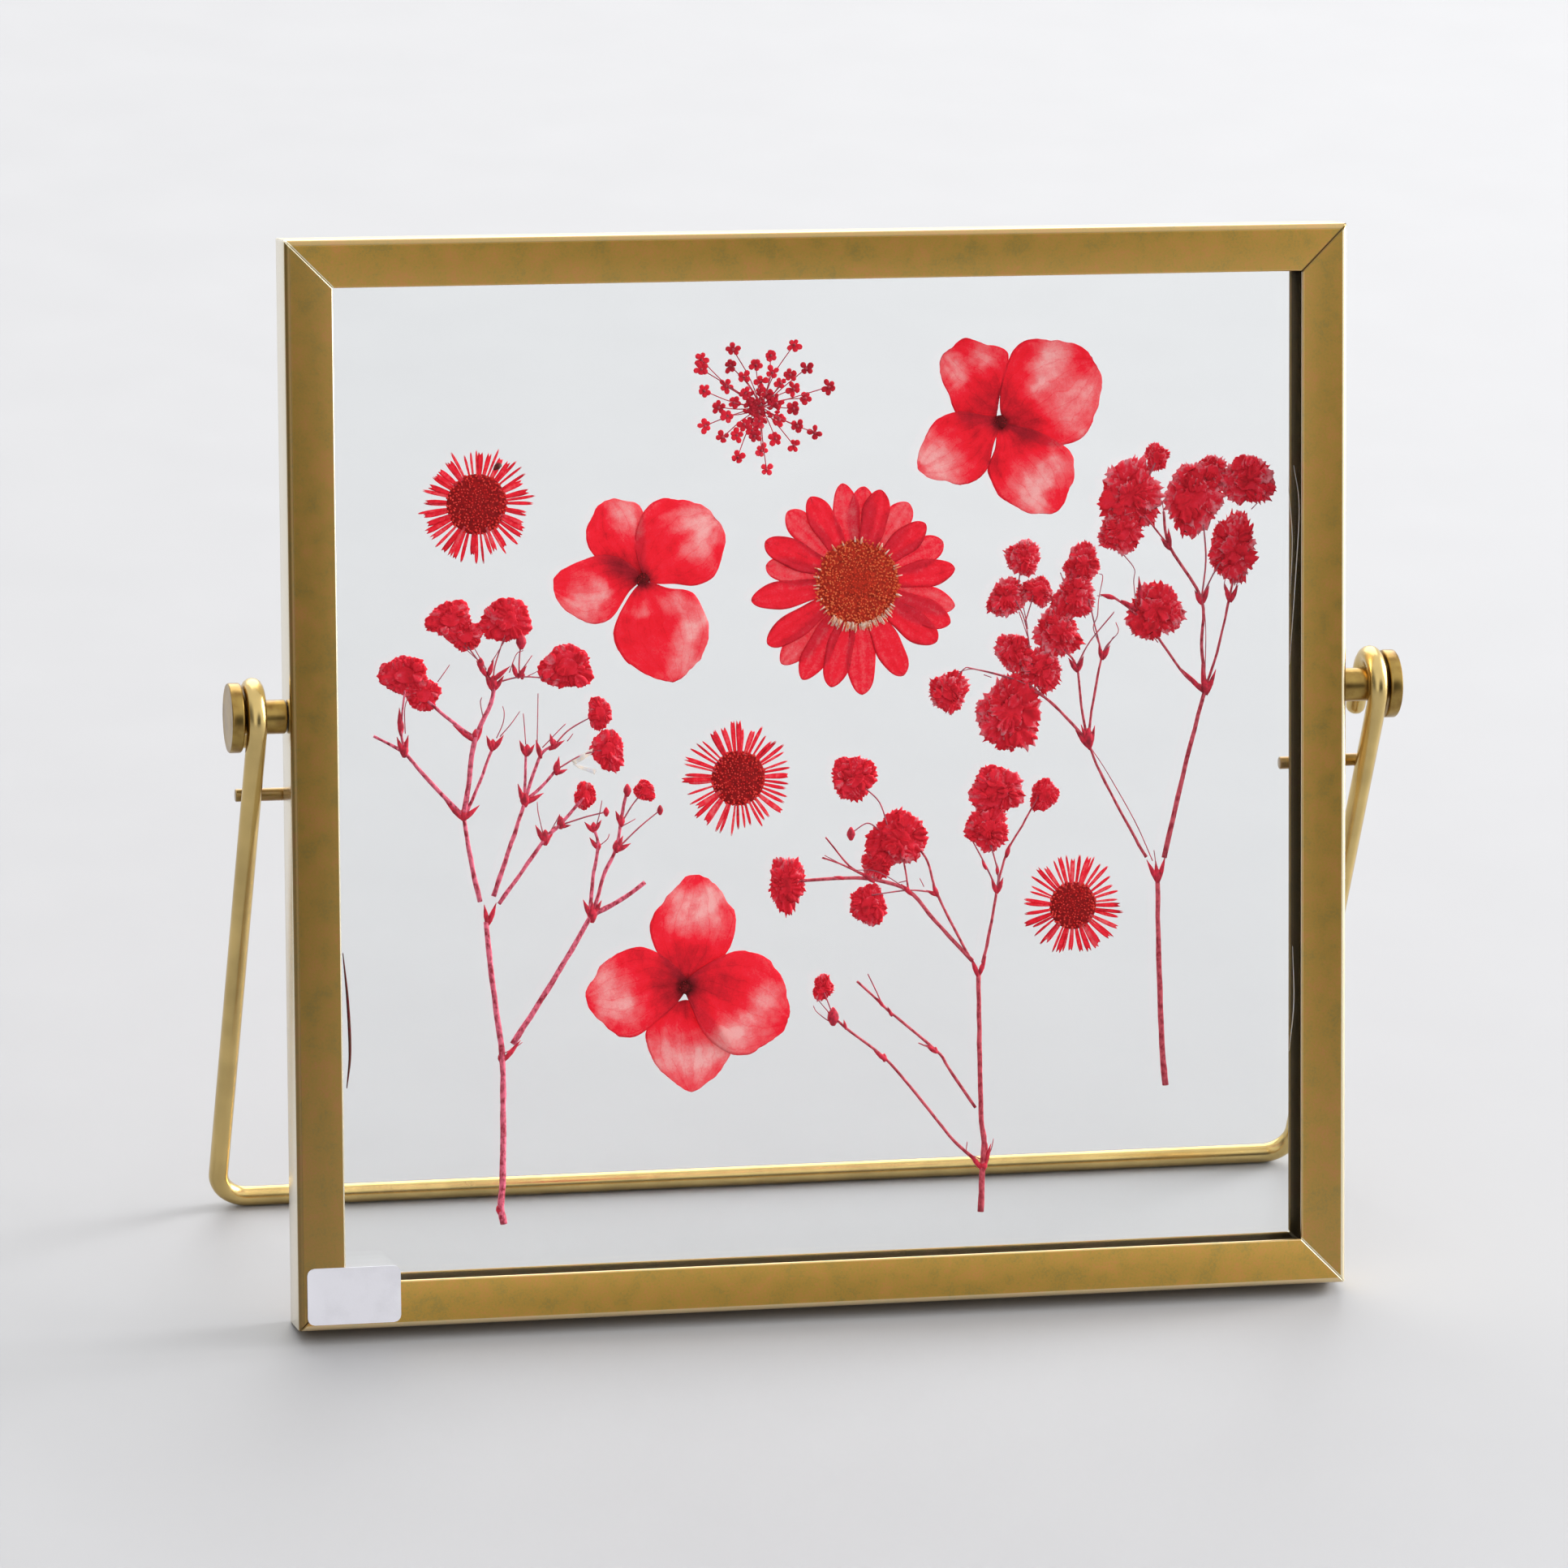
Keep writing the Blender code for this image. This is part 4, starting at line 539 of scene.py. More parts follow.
class PressedFrameColours(bpy.types.PropertyGroup):
    brass: colour("Antique brass", "Olive brown of the channel", "C59C44")
    brass_warm: colour("Warm brass", "Redder patches of the channel", "D0964E")
    brass_dark: colour("Brass tarnish", "Darkest patches of the channel", "B39648")
    # Pale colour of the painted highlights on the rails' edges, bends and mitres
    edge: colour("Rubbed brass", "Bare brass along edges and mitres", "F2E8C8")
    wire: colour("Brass wire", "The stand's drawn wire", "DCC07E")
    screw: colour("Turned brass", "The screws", "A68A4C")
    screw_dark: colour("Dull turned brass", "Dull patches of the screws", "866838")
    paper: colour("Label paper", "The blank label", "E8E7EE")
    pale: colour("Faded petal", "Where the dye is weakest", "F8CCCA")
    pink: colour("Pink petal", "Between faded and red", "F68A90")
    coral: colour("Coral petal", "The usual dyed petal", "F63A54")
    crimson: colour("Crimson petal", "Where the dye is strong", "F2122A")
    frill_tip: colour("Blossom tips", "Faded tips of the blossoms' petals", "FF96A2")
    frill: colour("Blossom", "The sprigs' blossoms", "FF2E48")
    frill_deep: colour("Deep blossom", "Where a blossom's dye is strong", "F60E26")
    # The deepest red of a blossom, and the painted shade in its creases and folds
    frill_dark: colour("Blossom folds", "Deepest in a blossom's folds", "B00A1C")
    heart: colour("Heart", "The darkest part of a flower", "6A0810")
    # The discs' darkest colours also stand for painted shade at the florets' bases and on the cushion
    # between them
    disc: colour("Daisy disc", "Brown red florets", "EE3E26")
    disc_tip: colour("Daisy disc tips", "Lighter tips of the florets", "F88A54")
    disc_dark: colour("Daisy disc middle", "The disc's dark middle", "8A2010")
    bristle: colour("Bristles", "Undyed bristles below the disc", "FFEEDC")
    button: colour("Aster disc", "Dark red button", "E61A1E")
    button_tip: colour("Aster disc tips", "Lighter tips on the button", "FF5E54")
    button_dark: colour("Aster disc shade", "Between the button's florets", "8A0A0E")
    stem_pink: colour("Pink stalk", "The left sprig's stalks", "F0708A")
    stem_brown: colour("Brown stalk", "The other sprigs' stalks", "D85866")
    stem_dark: colour("Stalk specks", "Dark specks and streaks of the stalks", "A02234")
    thread: colour("Thread", "Hair-thin stalks", "A85E6C")
    bract: colour("Bract", "Swollen bases of the stalks", "E02A44")
    fleck: colour("Fleck", "Dry brown bits", "5A3020")
    floor: colour("Table", "The pale table top", "9D9D9F")


# Modelling helpers

def none_selected():
    """Leaves edit mode and selects nothing, because an operator acts on all that is selected."""
    if bpy.context.object and bpy.context.object.mode != "OBJECT":
        bpy.ops.object.mode_set(mode="OBJECT")
    bpy.ops.object.select_all(action="DESELECT")


def only(thing):
    none_selected()
    bpy.context.view_layer.objects.active = thing
    thing.select_set(True)


def edit(thing):
    only(thing)
    bpy.ops.object.mode_set(mode="EDIT")


def pick(thing, kind, wanted):
    """In edit mode, selects the faces or edges that answer the question and nothing else."""
    bpy.ops.mesh.select_mode(type=kind)
    bpy.ops.mesh.select_all(action="DESELECT")
    work = bmesh.from_edit_mesh(thing.data)
    for element in work.faces if kind == "FACE" else work.edges:
        element.select_set(wanted(element))
    bmesh.update_edit_mesh(thing.data)


def heading(turn):
    """The unit step on the pane in the direction of an angle."""
    return Vector((math.cos(turn), math.sin(turn)))


def apply_modifier(thing, kind, **settings):
    """Adds a modifier with its settings and applies it."""
    only(thing)
    modifier = thing.modifiers.new(kind.title(), kind)
    for name, value in settings.items():
        setattr(modifier, name, value)
    bpy.ops.object.modifier_apply(modifier=modifier.name)


def round_edges(thing, width, degrees):
    """Rounds each edge whose faces turn by more than an angle."""
    apply_modifier(
        thing, "BEVEL", width=width, segments=3, limit_method="ANGLE", angle_limit=math.radians(degrees),
    )


def smooth_by_angle(thing, degrees):
    only(thing)
    bpy.ops.object.shade_smooth_by_angle(angle=math.radians(degrees))


def placed(thing, matrix):
    """Moves a piece's mesh, so that its object stays at the origin."""
    only(thing)
    bpy.ops.object.transform_apply()
    thing.data.transform(matrix)
    thing.data.update()


def even(thing, name, value):
    """Gives every point of a piece the same value of an attribute."""
    attribute = thing.data.attributes.new(name, "FLOAT", "POINT")
    for item in attribute.data:
        item.value = value


def finish_piece(thing, name, body, slot, *nodes):
    """Names a finished piece, fixes it to the model and hides the nodes that it stands in for."""
    thing.name = name
    thing.data.name = name
    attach(thing, body)
    if nodes:
        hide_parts(*nodes)


def joined(pieces):
    """One object of several, which keep their material slots."""
    none_selected()
    for piece in pieces:
        piece.select_set(True)
    bpy.context.view_layer.objects.active = pieces[0]
    if len(pieces) > 1:
        bpy.ops.object.join()
    return bpy.context.view_layer.objects.active


def finish_flower(pieces, name, slot, *nodes):
    """Joins a flower's pieces, stands them up between the panes and fixes them to the frame."""
    flower = joined(pieces)
    placed(flower, flowers_stood_up())
    finish_piece(flower, name, "frame", slot, *nodes)


def copy_of(pattern, name, material):
    """A new object with its own copy of a pattern's mesh."""
    thing = bpy.data.objects.new(name, pattern.data.copy())
    thing.data.materials.append(material)
    bpy.context.scene.collection.objects.link(thing)
    return thing


def object_from(work, name):
    """A new object with the mesh that was worked on."""
    mesh = bpy.data.meshes.new(name)
    work.to_mesh(mesh)
    work.free()
    thing = bpy.data.objects.new(name, mesh)
    bpy.context.scene.collection.objects.link(thing)
    return thing


def curved(a, b, c, d, steps):
    """So many steps from b towards c, bent so that the row passes through a and d as well."""
    row = []
    for i in range(steps):
        t = i / steps
        row.append(0.5 * (2 * b + (c - a) * t + (2 * a - 5 * b + 4 * c - d) * t * t
                          + (3 * b - a - 3 * c + d) * t * t * t))
    return row


def smooth_path(points, steps):
    """A row through the given points with no corners, with so many steps between each two."""
    places = [Vector(p) for p in points]
    if len(places) < 3:
        return [places[0].lerp(places[-1], i / (2 * steps)) for i in range(2 * steps + 1)]
    ends = [2 * places[0] - places[1]] + places + [2 * places[-1] - places[-2]]
    path = []
    for a, b, c, d in zip(ends, ends[1:], ends[2:], ends[3:]):
        path += curved(a, b, c, d, steps)
    return path + [places[-1]]


def smooth_loop(points, steps):
    """A closed row with no corners through the given points."""
    count = len(points)
    path = []
    for k in range(count):
        path += curved(*(Vector(points[(k + j - 1) % count]) for j in range(4)), steps)
    return path


def evenly(path, count):
    """So many points at equal distances along a row."""
    lengths = [0.0]
    for a, b in zip(path, path[1:]):
        lengths.append(lengths[-1] + (b - a).length)
    row = []
    at = 0
    for i in range(count):
        target = lengths[-1] * i / (count - 1)
        while at < len(path) - 2 and lengths[at + 1] < target:
            at += 1
        span = max(lengths[at + 1] - lengths[at], 1e-9)
        row.append(path[at].lerp(path[at + 1], (target - lengths[at]) / span))
    return row


def strand_point(place, height, radius):
    """A point of a strand in metres, from its place on the pane, height and radius in millimetres."""
    return (place[0] * MM, place[1] * MM, height * MM), radius * MM


def round_strands(rows, roundness, material):
    """A mesh of round strands; each row is a list of ((x, y, z), radius), in metres."""
    none_selected()
    bpy.ops.curve.primitive_nurbs_path_add()
    thing = bpy.context.object
    curve = thing.data
    curve.splines.clear()
    curve.bevel_depth = 1.0
    curve.bevel_resolution = roundness
    curve.use_fill_caps = True
    for row in rows:
        line = curve.splines.new("POLY")
        line.points.add(len(row) - 1)
        for point, (place, radius) in zip(line.points, row):
            point.co = (*place, 1.0)
            point.radius = radius
    bpy.ops.object.convert(target="MESH")
    thing = bpy.context.object
    edit(thing)
    bpy.ops.mesh.select_all(action="SELECT")
    bpy.ops.mesh.remove_doubles(threshold=0.002 * MM)
    bpy.ops.mesh.normals_make_consistent(inside=False)
    bpy.ops.object.mode_set(mode="OBJECT")
    thing.data.materials.append(material)
    return thing


def petal_sheet(along, across):
    """A flat sheet with its base at x 0 and its tip at x 1, and with y from -1 to 1."""
    none_selected()
    bpy.ops.mesh.primitive_grid_add(x_subdivisions=along, y_subdivisions=across, size=1.0)
    sheet = bpy.context.object
    edit(sheet)
    bpy.ops.mesh.select_all(action="SELECT")
    bpy.ops.transform.translate(value=(0.5, 0.0, 0.0))
    bpy.ops.transform.resize(value=(1.0, 2.0, 1.0), center_override=(0.0, 0.0, 0.0))
    bpy.ops.object.mode_set(mode="OBJECT")
    return sheet


def petals_from(divisions, forms, thickness, material):
    """One object of shaped copies of a sheet. A form turns (along, across) into a place and a tint."""
    sheet = petal_sheet(*divisions)
    work = bmesh.new()
    tint = work.verts.layers.float.new("tint")
    vein = work.verts.layers.float_vector.new("vein")
    for form in forms:
        start = len(work.verts)
        work.from_mesh(sheet.data)
        work.verts.ensure_lookup_table()
        for vert in work.verts[start:]:
            along, across = vert.co.x, vert.co.y
            place, shade = form(along, across)
            vert.co = Vector(place) * MM
            vert[tint] = shade
            vert[vein] = (along, across, start * 0.37)
    bpy.data.objects.remove(sheet, do_unlink=True)
    thing = object_from(work, "petals")
    apply_modifier(thing, "SOLIDIFY", thickness=thickness, offset=0.0)
    only(thing)
    bpy.ops.object.shade_smooth()
    thing.data.materials.append(material)
    return thing


def crumple(x, y, seed, grain=0.35):
    """A smooth rise and fall between about -1 and 1 over the pane, with bumps about 1 / grain mm apart."""
    return noise.noise(Vector((x * grain, y * grain, seed * 7.3))) * 1.6


# Places

def frame_leaned():
    """Where the upright frame leans, where the stand's axis lies and how long its legs are."""
    depth, corner, plane, height, wire, label_front, label_low = (
        size * MM for size in (
            DEPTH, OUTER_ROUND, FLOWER_PLANE, SCREW_HEIGHT, WIRE_RADIUS, LABEL_FRONT, LABEL_LOW,
        )
    )
    hook = (SHANK_RADIUS + HOOK_GAP + WIRE_RADIUS) * MM
    lift = corner + (depth - corner) * math.sin(LEAN) - corner * math.cos(LEAN)
    axis_y = plane * math.cos(LEAN) + height * math.sin(LEAN)
    axis_z = lift - plane * math.sin(LEAN) + height * math.cos(LEAN)
    swing = OPENING - LEAN
    leg = (axis_z - hook * math.sin(swing) - wire) / math.cos(swing)
    bar_y = axis_y - hook * math.cos(swing) + leg * math.sin(swing)
    front_y = -label_front * math.cos(LEAN) + label_low * math.sin(LEAN)
    middle_y = (front_y + bar_y + wire) / 2
    leaned = Matrix.Translation((0, -middle_y, lift)) @ Matrix.Rotation(-LEAN, 4, "X")
    stand = Matrix.Translation((0, axis_y - middle_y, axis_z)) @ Matrix.Rotation(swing, 4, "X")
    return leaned, stand, leg


LEANED, STAND_AXIS, LEG_LENGTH = frame_leaned()


def flowers_stood_up():
    """From the flat drawing, height above it towards the viewer, to the flowers' plane between the panes."""
    plane = bpy.context.scene.pressed_frame_sizes.flower_plane
    return LEANED @ Matrix.Translation((0, plane, 0)) @ Matrix.Rotation(math.pi / 2, 4, "X")


# Materials

def per_metre(millimetres):
    """The scale of a noise or wave whose features are so many millimetres across."""
    return 1.0 / (millimetres * MM)


def add_node(tree, kind, give, inputs, stops=(), **settings):
    """Adds a node with its settings, gives each input its value or link, and returns one of its outputs."""
    node = tree.nodes.new("ShaderNode" + kind)
    for name, value in settings.items():
        setattr(node, name, value)
    for socket, value in inputs.items():
        if isinstance(value, bpy.types.NodeSocket):
            tree.links.new(value, node.inputs[socket])
        else:
            node.inputs[socket].default_value = value
    for number, (position, shade) in enumerate(stops):
        if number > 1:
            node.color_ramp.elements.new(0.5)
        node.color_ramp.elements[number].position = position
        node.color_ramp.elements[number].color = shade
    return node.outputs[give]


def new_material(name, **values):
    """An empty material, its tree, its shader with the given values, and Object coordinates."""
    material = bpy.data.materials.new(name)
    material.use_nodes = True
    tree = material.node_tree
    shader = tree.nodes["Principled BSDF"]
    for socket, value in values.items():
        shader.inputs[socket.replace("_", " ")].default_value = value
    return material, tree, shader, add_node(tree, "TexCoord", "Object", {})


def antique_brass(colours):
    """Bent brass sheet, darkened and lacquered: satin, mottled olive to brown, with painted light and shade.
    """
    material, tree, shader, place = new_material(
        SHEET_BRASS, Metallic=1.0, Coat_Weight=1.0, Coat_Roughness=0.25,
    )
    patches = add_node(
        tree, "TexNoise", "Fac", {"Vector": place, "Scale": per_metre(3.2), "Detail": 4.0, "Roughness": 0.6},
    )
    # The real grain is finer than a pixel of the render, so it is drawn about three times as coarse
    grain = add_node(
        tree, "TexNoise", "Fac",
        {"Vector": place, "Scale": per_metre(0.34), "Detail": 2.0, "Roughness": 0.8},
    )
    half_grain = add_node(tree, "Math", 0, {0: grain, 1: 0.9, 2: -0.45}, operation="MULTIPLY_ADD")
    mottled = add_node(tree, "Math", 0, {0: patches, 1: half_grain}, operation="ADD")
    tone = add_node(tree, "ValToRGB", "Color", {"Fac": mottled}, [
        (0.24, colours.brass_dark), (0.46, colours.brass), (0.56, colours.brass), (0.76, colours.brass_warm),
    ])
    # Painted light and shade: one attribute scales each face's colour, and a second mixes in a pale painted
    # highlight along edges, bends and mitres and makes them a little smoother
    painted_light = add_node(tree, "Attribute", "Fac", {}, attribute_name="painted_light")
    painted_highlight = add_node(tree, "Attribute", "Fac", {}, attribute_name="painted_highlight")
    shaded = add_node(tree, "VectorMath", "Vector", {"Vector": tone, "Scale": painted_light}, operation="SCALE")
    highlighted = add_node(tree, "Mix", 2, {0: painted_highlight, 6: shaded, 7: colours.edge}, data_type="RGBA")
    tree.links.new(highlighted, shader.inputs["Base Color"])
    rough = add_node(tree, "MapRange", "Result", {"Value": patches, "To Min": 0.34, "To Max": 0.46})
    smoother = add_node(tree, "Math", 0, {0: painted_highlight, 1: -0.2, 2: rough}, operation="MULTIPLY_ADD")
    tree.links.new(smoother, shader.inputs["Roughness"])
    bump = add_node(tree, "Bump", "Normal", {"Height": grain, "Strength": 0.25, "Distance": 0.03 * MM})
    tree.links.new(bump, shader.inputs["Normal"])
    return material


def drawn_wire(colours):
    """Drawn brass wire: brighter and smoother than the sheet, with faint dull patches from handling."""
    material, tree, shader, place = new_material("drawn brass wire", Metallic=1.0)
    dull = add_node(tree, "TexNoise", "Fac", {"Vector": place, "Scale": per_metre(6.0), "Detail": 3.0})
    duller = [0.78 * c for c in colours.wire[:3]] + [1.0]
    tone = add_node(tree, "ValToRGB", "Color", {"Fac": dull}, [(0.3, duller), (0.7, colours.wire)])
    tree.links.new(tone, shader.inputs["Base Color"])
    rough = add_node(tree, "MapRange", "Result", {"Value": dull, "To Min": 0.30, "To Max": 0.20})
    tree.links.new(rough, shader.inputs["Roughness"])
    return material


def turned_brass(colours):
    """Brass turned on a lathe and lacquered: fine rings on the head, soft sheen."""
    material, tree, shader, place = new_material("turned lacquered brass", Metallic=1.0, Roughness=0.28)
    centred = add_node(tree, "Mapping", "Vector", {"Vector": place, "Location": knob_middle() * -1.0})
    # A lathe's rings are 0.1 mm apart and would not show, so they are drawn 0.5 mm apart
    rings = add_node(
        tree, "TexWave", "Fac",
        {"Vector": centred, "Scale": per_metre(0.5) / 20, "Distortion": 0.6, "Detail": 1.0},
        wave_type="RINGS", rings_direction="X",
    )
    patches = add_node(tree, "TexNoise", "Fac", {"Vector": place, "Scale": per_metre(2.0), "Detail": 3.0})
    tone = add_node(
        tree, "ValToRGB", "Color", {"Fac": patches}, [(0.3, colours.screw_dark), (0.6, colours.screw)],
    )
    tree.links.new(tone, shader.inputs["Base Color"])
    bump = add_node(tree, "Bump", "Normal", {"Height": rings, "Strength": 0.2, "Distance": 0.02 * MM})
    tree.links.new(bump, shader.inputs["Normal"])
    return material


def knob_middle():
    """A point on the screws' axis, midway between them."""
    sizes = bpy.context.scene.pressed_frame_sizes
    return LEANED @ Vector((0.0, sizes.flower_plane, sizes.knob_height))


def float_glass():
    """Clear float glass: colourless to look through, with a faint green in its cut edges."""
    # Its IOR is a little under that of real glass, so that four faces don't grey what lies behind them
    return new_material(
        "clear float glass", Base_Color=linear("FEFFFF"), Transmission_Weight=1.0, IOR=1.35, Roughness=0.0,
    )[0]


def label_paper(colours):
    """Matt coated label paper: faint fibres, a little grey in places."""
    material, tree, shader, place = new_material("coated label paper", Roughness=0.75)
    fibres = add_node(
        tree, "TexNoise", "Fac",
        {"Vector": place, "Scale": per_metre(0.25), "Detail": 3.0, "Roughness": 0.7},
    )
    soiled = add_node(tree, "TexNoise", "Fac", {"Vector": place, "Scale": per_metre(3.5), "Detail": 3.0})
    worn = [c * 0.94 for c in colours.paper[:3]] + [1.0]
    faint = add_node(tree, "Math", 0, {0: fibres, 1: 0.2}, operation="MULTIPLY")
    both = add_node(tree, "Math", 0, {0: soiled, 1: 0.8, 2: faint}, operation="MULTIPLY_ADD")
    tone = add_node(tree, "ValToRGB", "Color", {"Fac": both}, [(0.35, worn), (0.55, colours.paper)])
    tree.links.new(tone, shader.inputs["Base Color"])
    bump = add_node(tree, "Bump", "Normal", {"Height": fibres, "Strength": 0.3, "Distance": 0.03 * MM})
    tree.links.new(bump, shader.inputs["Normal"])
    return material


def dyed_petal(name, stops, patch_mm, patchiness, speckle, vein_count, vein_depth, thin):
    """A dried petal dyed red: matt, mottled, darker along its veins, and a little light shines through."""
    # The tint attribute says how much dye a point took, from 0 where it faded to dyed_through in the heart,
    # with painted shade in the blossoms' creases and painted backlight in the hydrangeas' paler patches
    dyed_through = 1.3
    material, tree, shader, place = new_material(name, Roughness=0.7, Specular_IOR_Level=0.25)
    tint = add_node(tree, "Attribute", "Fac", {}, attribute_name="tint")
    vein = add_node(tree, "Attribute", "Vector", {}, attribute_name="vein")
    cloud = add_node(
        tree, "TexNoise", "Fac",
        {"Vector": place, "Scale": per_metre(patch_mm), "Detail": 5.0, "Roughness": 0.6, "Distortion": 0.5},
    )
    fine = add_node(
        tree, "TexNoise", "Fac",
        {"Vector": place, "Scale": per_metre(0.30), "Detail": 2.0, "Roughness": 0.7},
    )
    wander = add_node(tree, "TexNoise", "Fac", {"Vector": place, "Scale": per_metre(3.0), "Detail": 2.0})
    across = add_node(tree, "SeparateXYZ", "Y", {"Vector": vein})
    fan = add_node(tree, "Math", 0, {0: wander, 1: 0.35, 2: across}, operation="MULTIPLY_ADD")
    turns = add_node(tree, "Math", 0, {0: fan, 1: vein_count}, operation="MULTIPLY")
    wave = add_node(tree, "Math", 0, {0: turns}, operation="SINE")
    ridge = add_node(tree, "Math", 0, {0: wave}, operation="ABSOLUTE")
    line = add_node(
        tree, "MapRange", "Result",
        {"Value": ridge, "From Min": 0.0, "From Max": 0.22, "To Min": vein_depth, "To Max": 0.0},
    )
    clouded = add_node(tree, "Math", 0, {0: cloud, 1: patchiness, 2: tint}, operation="MULTIPLY_ADD")
    speckled = add_node(tree, "Math", 0, {0: fine, 1: speckle, 2: clouded}, operation="MULTIPLY_ADD")
    veined = add_node(tree, "Math", 0, {0: speckled, 1: line}, operation="ADD")
    evened = add_node(tree, "Math", 0, {0: veined, 1: (patchiness + speckle) / 2}, operation="SUBTRACT")
    tint_value = add_node(tree, "Math", 0, {0: evened, 1: dyed_through}, operation="DIVIDE")
    tone = add_node(tree, "ValToRGB", "Color", {"Fac": tint_value}, stops)
    tree.links.new(tone, shader.inputs["Base Color"])
    ribs = add_node(tree, "Math", 0, {0: line, 1: -2.0, 2: fine}, operation="MULTIPLY_ADD")
    bump = add_node(tree, "Bump", "Normal", {"Height": ribs, "Strength": 0.3, "Distance": 0.05 * MM})
    tree.links.new(bump, shader.inputs["Normal"])
    behind = add_node(tree, "BsdfTranslucent", "BSDF", {"Color": tone})
    both = add_node(tree, "MixShader", "Shader", {0: thin, 1: shader.outputs["BSDF"], 2: behind})
    tree.links.new(both, tree.nodes["Material Output"].inputs["Surface"])
    return material


def petal_stops(colours):
    """From a petal's faded colour to its heart."""
    return [
        (0.02, colours.pale), (0.22, colours.pink), (0.42, colours.coral), (0.66, colours.crimson),
        (0.97, colours.heart),
    ]


def florets_material(name, dark, middle, tip):
    """Packed dried florets: dry and matt, each a little different, with lighter tips and painted shade
    between them.
    """
    material, tree, shader, place = new_material(name, Roughness=0.8, Specular_IOR_Level=0.2)
    tint = add_node(tree, "Attribute", "Fac", {}, attribute_name="tint")
    fine = add_node(
        tree, "TexNoise", "Fac",
        {"Vector": place, "Scale": per_metre(0.45), "Detail": 2.0, "Roughness": 0.7},
    )
    mixed = add_node(tree, "Math", 0, {0: fine, 1: 0.8, 2: tint}, operation="MULTIPLY_ADD")
    tint_value = add_node(tree, "Math", 0, {0: mixed, 1: 0.4}, operation="SUBTRACT")
    tone = add_node(tree, "ValToRGB", "Color", {"Fac": tint_value}, [(0.1, dark), (0.5, middle), (0.95, tip)])
    tree.links.new(tone, shader.inputs["Base Color"])
    return material


def stalk_material(name, light, dark):
    """A dried stalk: matt, streaked along its length and darker in places."""
    material, tree, shader, place = new_material(name, Roughness=0.65, Specular_IOR_Level=0.3)
    streak = add_node(tree, "Mapping", "Vector", {"Vector": place, "Scale": (1.0, 1.0, 0.25)})
    blotch = add_node(
        tree, "TexNoise", "Fac", {"Vector": place, "Scale": per_metre(0.9), "Detail": 4.0, "Roughness": 0.7},
    )
    fibre = add_node(tree, "TexNoise", "Fac", {"Vector": streak, "Scale": per_metre(0.35), "Detail": 2.0})
    faint = add_node(tree, "Math", 0, {0: fibre, 1: 0.35}, operation="MULTIPLY")
    both = add_node(tree, "Math", 0, {0: blotch, 1: 0.65, 2: faint}, operation="MULTIPLY_ADD")
    tone = add_node(tree, "ValToRGB", "Color", {"Fac": both}, [(0.40, dark), (0.56, light)])
    tree.links.new(tone, shader.inputs["Base Color"])
    bump = add_node(tree, "Bump", "Normal", {"Height": fibre, "Strength": 0.4, "Distance": 0.04 * MM})
    tree.links.new(bump, shader.inputs["Normal"])
    return material


def table_top(colours):
    """A pale satin laminate table: one even grey, a little duller in places."""
    material, tree, shader, place = new_material("pale laminate", Base_Color=colours.floor)
    grain = add_node(tree, "TexNoise", "Fac", {"Vector": place, "Scale": per_metre(25.0), "Detail": 3.0})
    rough = add_node(tree, "MapRange", "Result", {"Value": grain, "To Min": 0.55, "To Max": 0.65})
    tree.links.new(rough, shader.inputs["Roughness"])
    return material


# The frame's own pieces

def channel_rail(sizes):
    """A length of channel: a box without top and ends, bent round, thickened inwards and mitred."""
    none_selected()
    bpy.ops.mesh.primitive_cube_add(size=1.0)
    rail = bpy.context.object
    rail.scale = (sizes.side, sizes.depth, sizes.lip)
    rail.location = (0.0, sizes.depth / 2, sizes.lip / 2)
    bpy.ops.object.transform_apply()
    edit(rail)
    pick(rail, "FACE", lambda face: face.normal.z > 0.5 or abs(face.normal.x) > 0.5)
    bpy.ops.mesh.delete(type="FACE")
    low = sizes.lip / 10
    pick(rail, "EDGE", lambda e: max(v.co.z for v in e.verts) < low and len(e.link_faces) == 2)
    bpy.ops.mesh.bevel(offset=sizes.outer_round, segments=8, affect="EDGES")
    bpy.ops.object.mode_set(mode="OBJECT")
    apply_modifier(rail, "SOLIDIFY", thickness=sizes.sheet, offset=-1.0)
    edit(rail)
    for side in (1, -1):
        bpy.ops.mesh.select_all(action="SELECT")
        bpy.ops.mesh.bisect(
            plane_co=(side * sizes.side / 2, 0.0, 0.0), plane_no=(side, 0.0, 1.0),
            use_fill=True, clear_outer=True,
        )
    bpy.ops.object.mode_set(mode="OBJECT")
    round_edges(rail, sizes.edge_round, 40)
    smooth_by_angle(rail, 40)
    return rail


